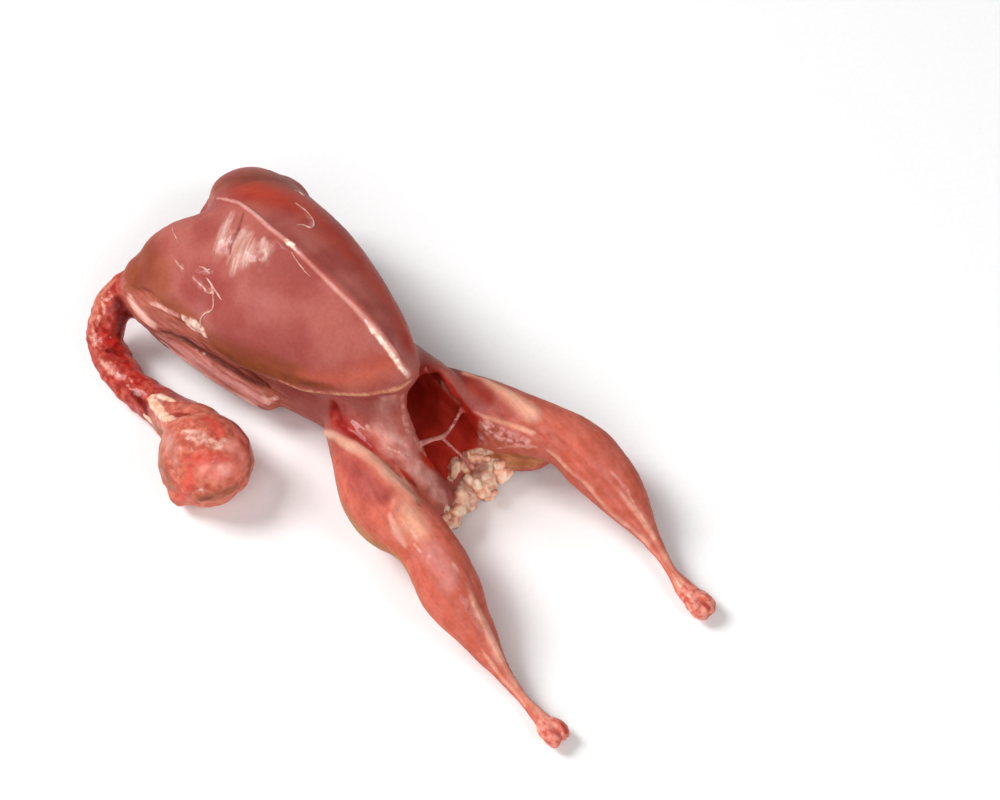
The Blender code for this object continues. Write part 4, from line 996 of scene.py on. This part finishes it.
def fat_tree():
    """Scatters lobes of fat where the skin's mark "fat" is strong, and tears their surface a little."""
    tree, given, result = group("fat lobes", {
        "Density": ("NodeSocketFloat", LOBES_PER_M2),
        "Smallest": ("NodeSocketFloat", SMALLEST_LOBE * MM),
        "Largest": ("NodeSocketFloat", LARGEST_LOBE * MM),
        "Seed": ("NodeSocketInt", LOBE_SEED),
        "Material": ("NodeSocketMaterial", None),
    })
    seed = given.outputs["Seed"]
    mark = put(tree, "GeometryNodeInputNamedAttribute", {"Name": "fat"}, data_type="FLOAT")
    strong = put(tree, "FunctionNodeCompare", {"A": mark.outputs["Attribute"], "B": 0.2}, data_type="FLOAT",
                 operation="GREATER_THAN")
    spread = put(tree, "GeometryNodeDistributePointsOnFaces",
                 {"Mesh": given.outputs["Geometry"], "Selection": strong.outputs[0],
                  "Density": given.outputs["Density"], "Seed": seed})
    lobe = put(tree, "GeometryNodeMeshIcoSphere", {"Radius": 1.0, "Subdivisions": 3})
    size = put(tree, "FunctionNodeRandomValue",
               {2: given.outputs["Smallest"], 3: given.outputs["Largest"], "Seed": seed}, data_type="FLOAT")
    spin = put(tree, "FunctionNodeRandomValue", {0: (0, 0, 0), 1: (6.28, 6.28, 6.28), "Seed": seed},
               data_type="FLOAT_VECTOR")
    stretch = put(tree, "FunctionNodeRandomValue", {0: (0.5, 0.5, 0.35), 1: (1.2, 1.2, 0.7), "Seed": seed},
                  data_type="FLOAT_VECTOR")
    scale = put(tree, "ShaderNodeVectorMath", {0: stretch.outputs[0], "Scale": size.outputs[1]},
                operation="SCALE")
    placed = put(tree, "GeometryNodeInstanceOnPoints",
                 {"Points": spread.outputs["Points"], "Instance": lobe.outputs["Mesh"],
                  "Rotation": spin.outputs[0], "Scale": scale.outputs[0]})
    real = put(tree, "GeometryNodeRealizeInstances", {"Geometry": placed.outputs["Instances"]})
    where = put(tree, "GeometryNodeInputPosition").outputs["Position"]
    rough = put(tree, "ShaderNodeTexNoise", {"Vector": where, "Scale": 1 / (0.9 * MM), "Detail": 2.0})
    shift = put(tree, "ShaderNodeVectorMath", {0: rough.outputs["Color"], 1: (-0.5, -0.5, -0.5)},
                operation="ADD")
    small = put(tree, "ShaderNodeVectorMath", {0: shift.outputs[0], "Scale": 0.0012}, operation="SCALE")
    torn = put(tree, "GeometryNodeSetPosition",
               {"Geometry": real.outputs["Geometry"], "Offset": small.outputs[0]})
    coat = put(tree, "GeometryNodeSetMaterial",
               {"Geometry": torn.outputs["Geometry"], "Material": given.outputs["Material"]})
    tree.links.new(coat.outputs["Geometry"], result.inputs["Geometry"])
    return tree


def torn_fat(skin, material):
    """The fat below the opening: lobes that grow out of the skin, run together and end at the table.

    Its point attribute "raised" runs from 0 in the hollows next to the skin to 1 on the crests.
    """
    obj = bpy.data.objects.new("vent_fat", skin.data.copy())
    obj.data.materials.clear()
    bpy.context.scene.collection.objects.link(obj)
    grow(obj, fat_tree(), {"Material": material})
    joined = obj.modifiers.new("joined", "REMESH")
    joined.mode = "VOXEL"
    joined.voxel_size = LOBE_VOXEL * MM
    mesh = plain(obj)
    mesh.materials.clear()
    mesh.materials.append(material)
    points, normals = read(mesh)
    points += normals * (0.3 * grain(points, 1.3, 3) + 0.05 * grain(points, 0.5, 7))[:, None]
    points[:, 2] = np.maximum(points[:, 2], 0.05)
    write(mesh, points)
    under = surface_tree(skin)
    raised = np.array([under.find_nearest(v.co)[3] / MM for v in mesh.vertices])
    layer = mesh.attributes.new("raised", "FLOAT", "POINT")
    layer.data.foreach_set("value", np.clip(raised / LARGEST_LOBE, 0, 1).astype(np.float32))
    mesh.polygons.foreach_set("use_smooth", [True] * len(mesh.polygons))
    return obj


def keep(piece):
    """Registers a piece of the bird."""
    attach(piece, "root")


def aim(obj, at):
    """Turns the camera or light to the place."""
    obj.rotation_euler = (Vector(at) - obj.location).to_track_quat("-Z", "Y").to_euler()


def camera():
    """The photograph's view: from above the bird's right side, close to the tail."""
    azimuth = math.radians(CAMERA_AZIMUTH)
    elevation = math.radians(CAMERA_ELEVATION)
    level = math.cos(elevation)
    back = Vector((math.sin(azimuth) * level, -math.cos(azimuth) * level, math.sin(elevation)))
    target = Vector(CAMERA_TARGET) * MM
    lens = bpy.data.cameras.new("view")
    lens.lens = 90
    lens.sensor_width = 36
    lens.clip_start = 0.01
    obj = bpy.data.objects.new("view", lens)
    obj.location = target + back * CAMERA_DISTANCE * MM
    bpy.context.scene.collection.objects.link(obj)
    aim(obj, target)
    bpy.context.scene.camera = obj


def softbox(name, towards, distance, size, power):
    """An area light that looks at the bird."""
    light = bpy.data.lights.new(name, "AREA")
    light.shape = "RECTANGLE"
    light.size, light.size_y = size
    light.energy = power
    obj = bpy.data.objects.new(name, light)
    centre = Vector((0, 5, 12)) * MM
    obj.location = centre + Vector(towards).normalized() * distance
    bpy.context.scene.collection.objects.link(obj)
    aim(obj, centre)


def studio():
    """A white board under soft daylight from the head's side."""
    mesh = bpy.data.meshes.new("board")
    half = 1.5
    low = -0.00005
    corners = [(-half, -half, low), (half, -half, low), (half, half, low), (-half, half, low)]
    mesh.from_pydata(corners, [], [(0, 1, 2, 3)])
    board = bpy.data.objects.new("board", mesh)
    mesh.materials.append(board_material())
    bpy.context.scene.collection.objects.link(board)
    softbox("key", (-0.34, 0.56, 0.76), 1.2, (0.5, 0.5), 11.5)
    softbox("window", (-0.35, 0.8, 0.52), 0.7, (0.06, 0.1), 0.4)
    softbox("front", (0.1, -0.7, 0.75), 1.0, (0.3, 0.3), 2.4)
    softbox("fill", (-0.6, -0.45, 0.75), 1.2, (0.9, 0.9), 6.4)
    world = bpy.data.worlds.new("room")
    world.use_nodes = True
    world.node_tree.nodes["Background"].inputs["Color"].default_value = (1, 1, 1, 1)
    world.node_tree.nodes["Background"].inputs["Strength"].default_value = 0.1
    bpy.context.scene.world = world
    bpy.context.scene.view_settings.view_transform = "Standard"


camera()
studio()

skin = bird_skin()
skin.data.materials.clear()
skin.data.materials.append(muscle_material())
keep(skin)
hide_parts("dressed_quail")

strand_maker = strand_tree()
sinew_paths = [smooth_path(path, 24) for path in SINEWS]
keep(strands("cavity_sinews", sinew_paths, strand_maker, sinew_material(), SINEW_RADIUS))
thread_paths = laid(THREADS, skin, THREAD_LIFT)
keep(strands("breast_fascia", thread_paths, strand_maker, fascia_material(), THREAD_RADIUS))
keep(torn_fat(skin, fat_material()))
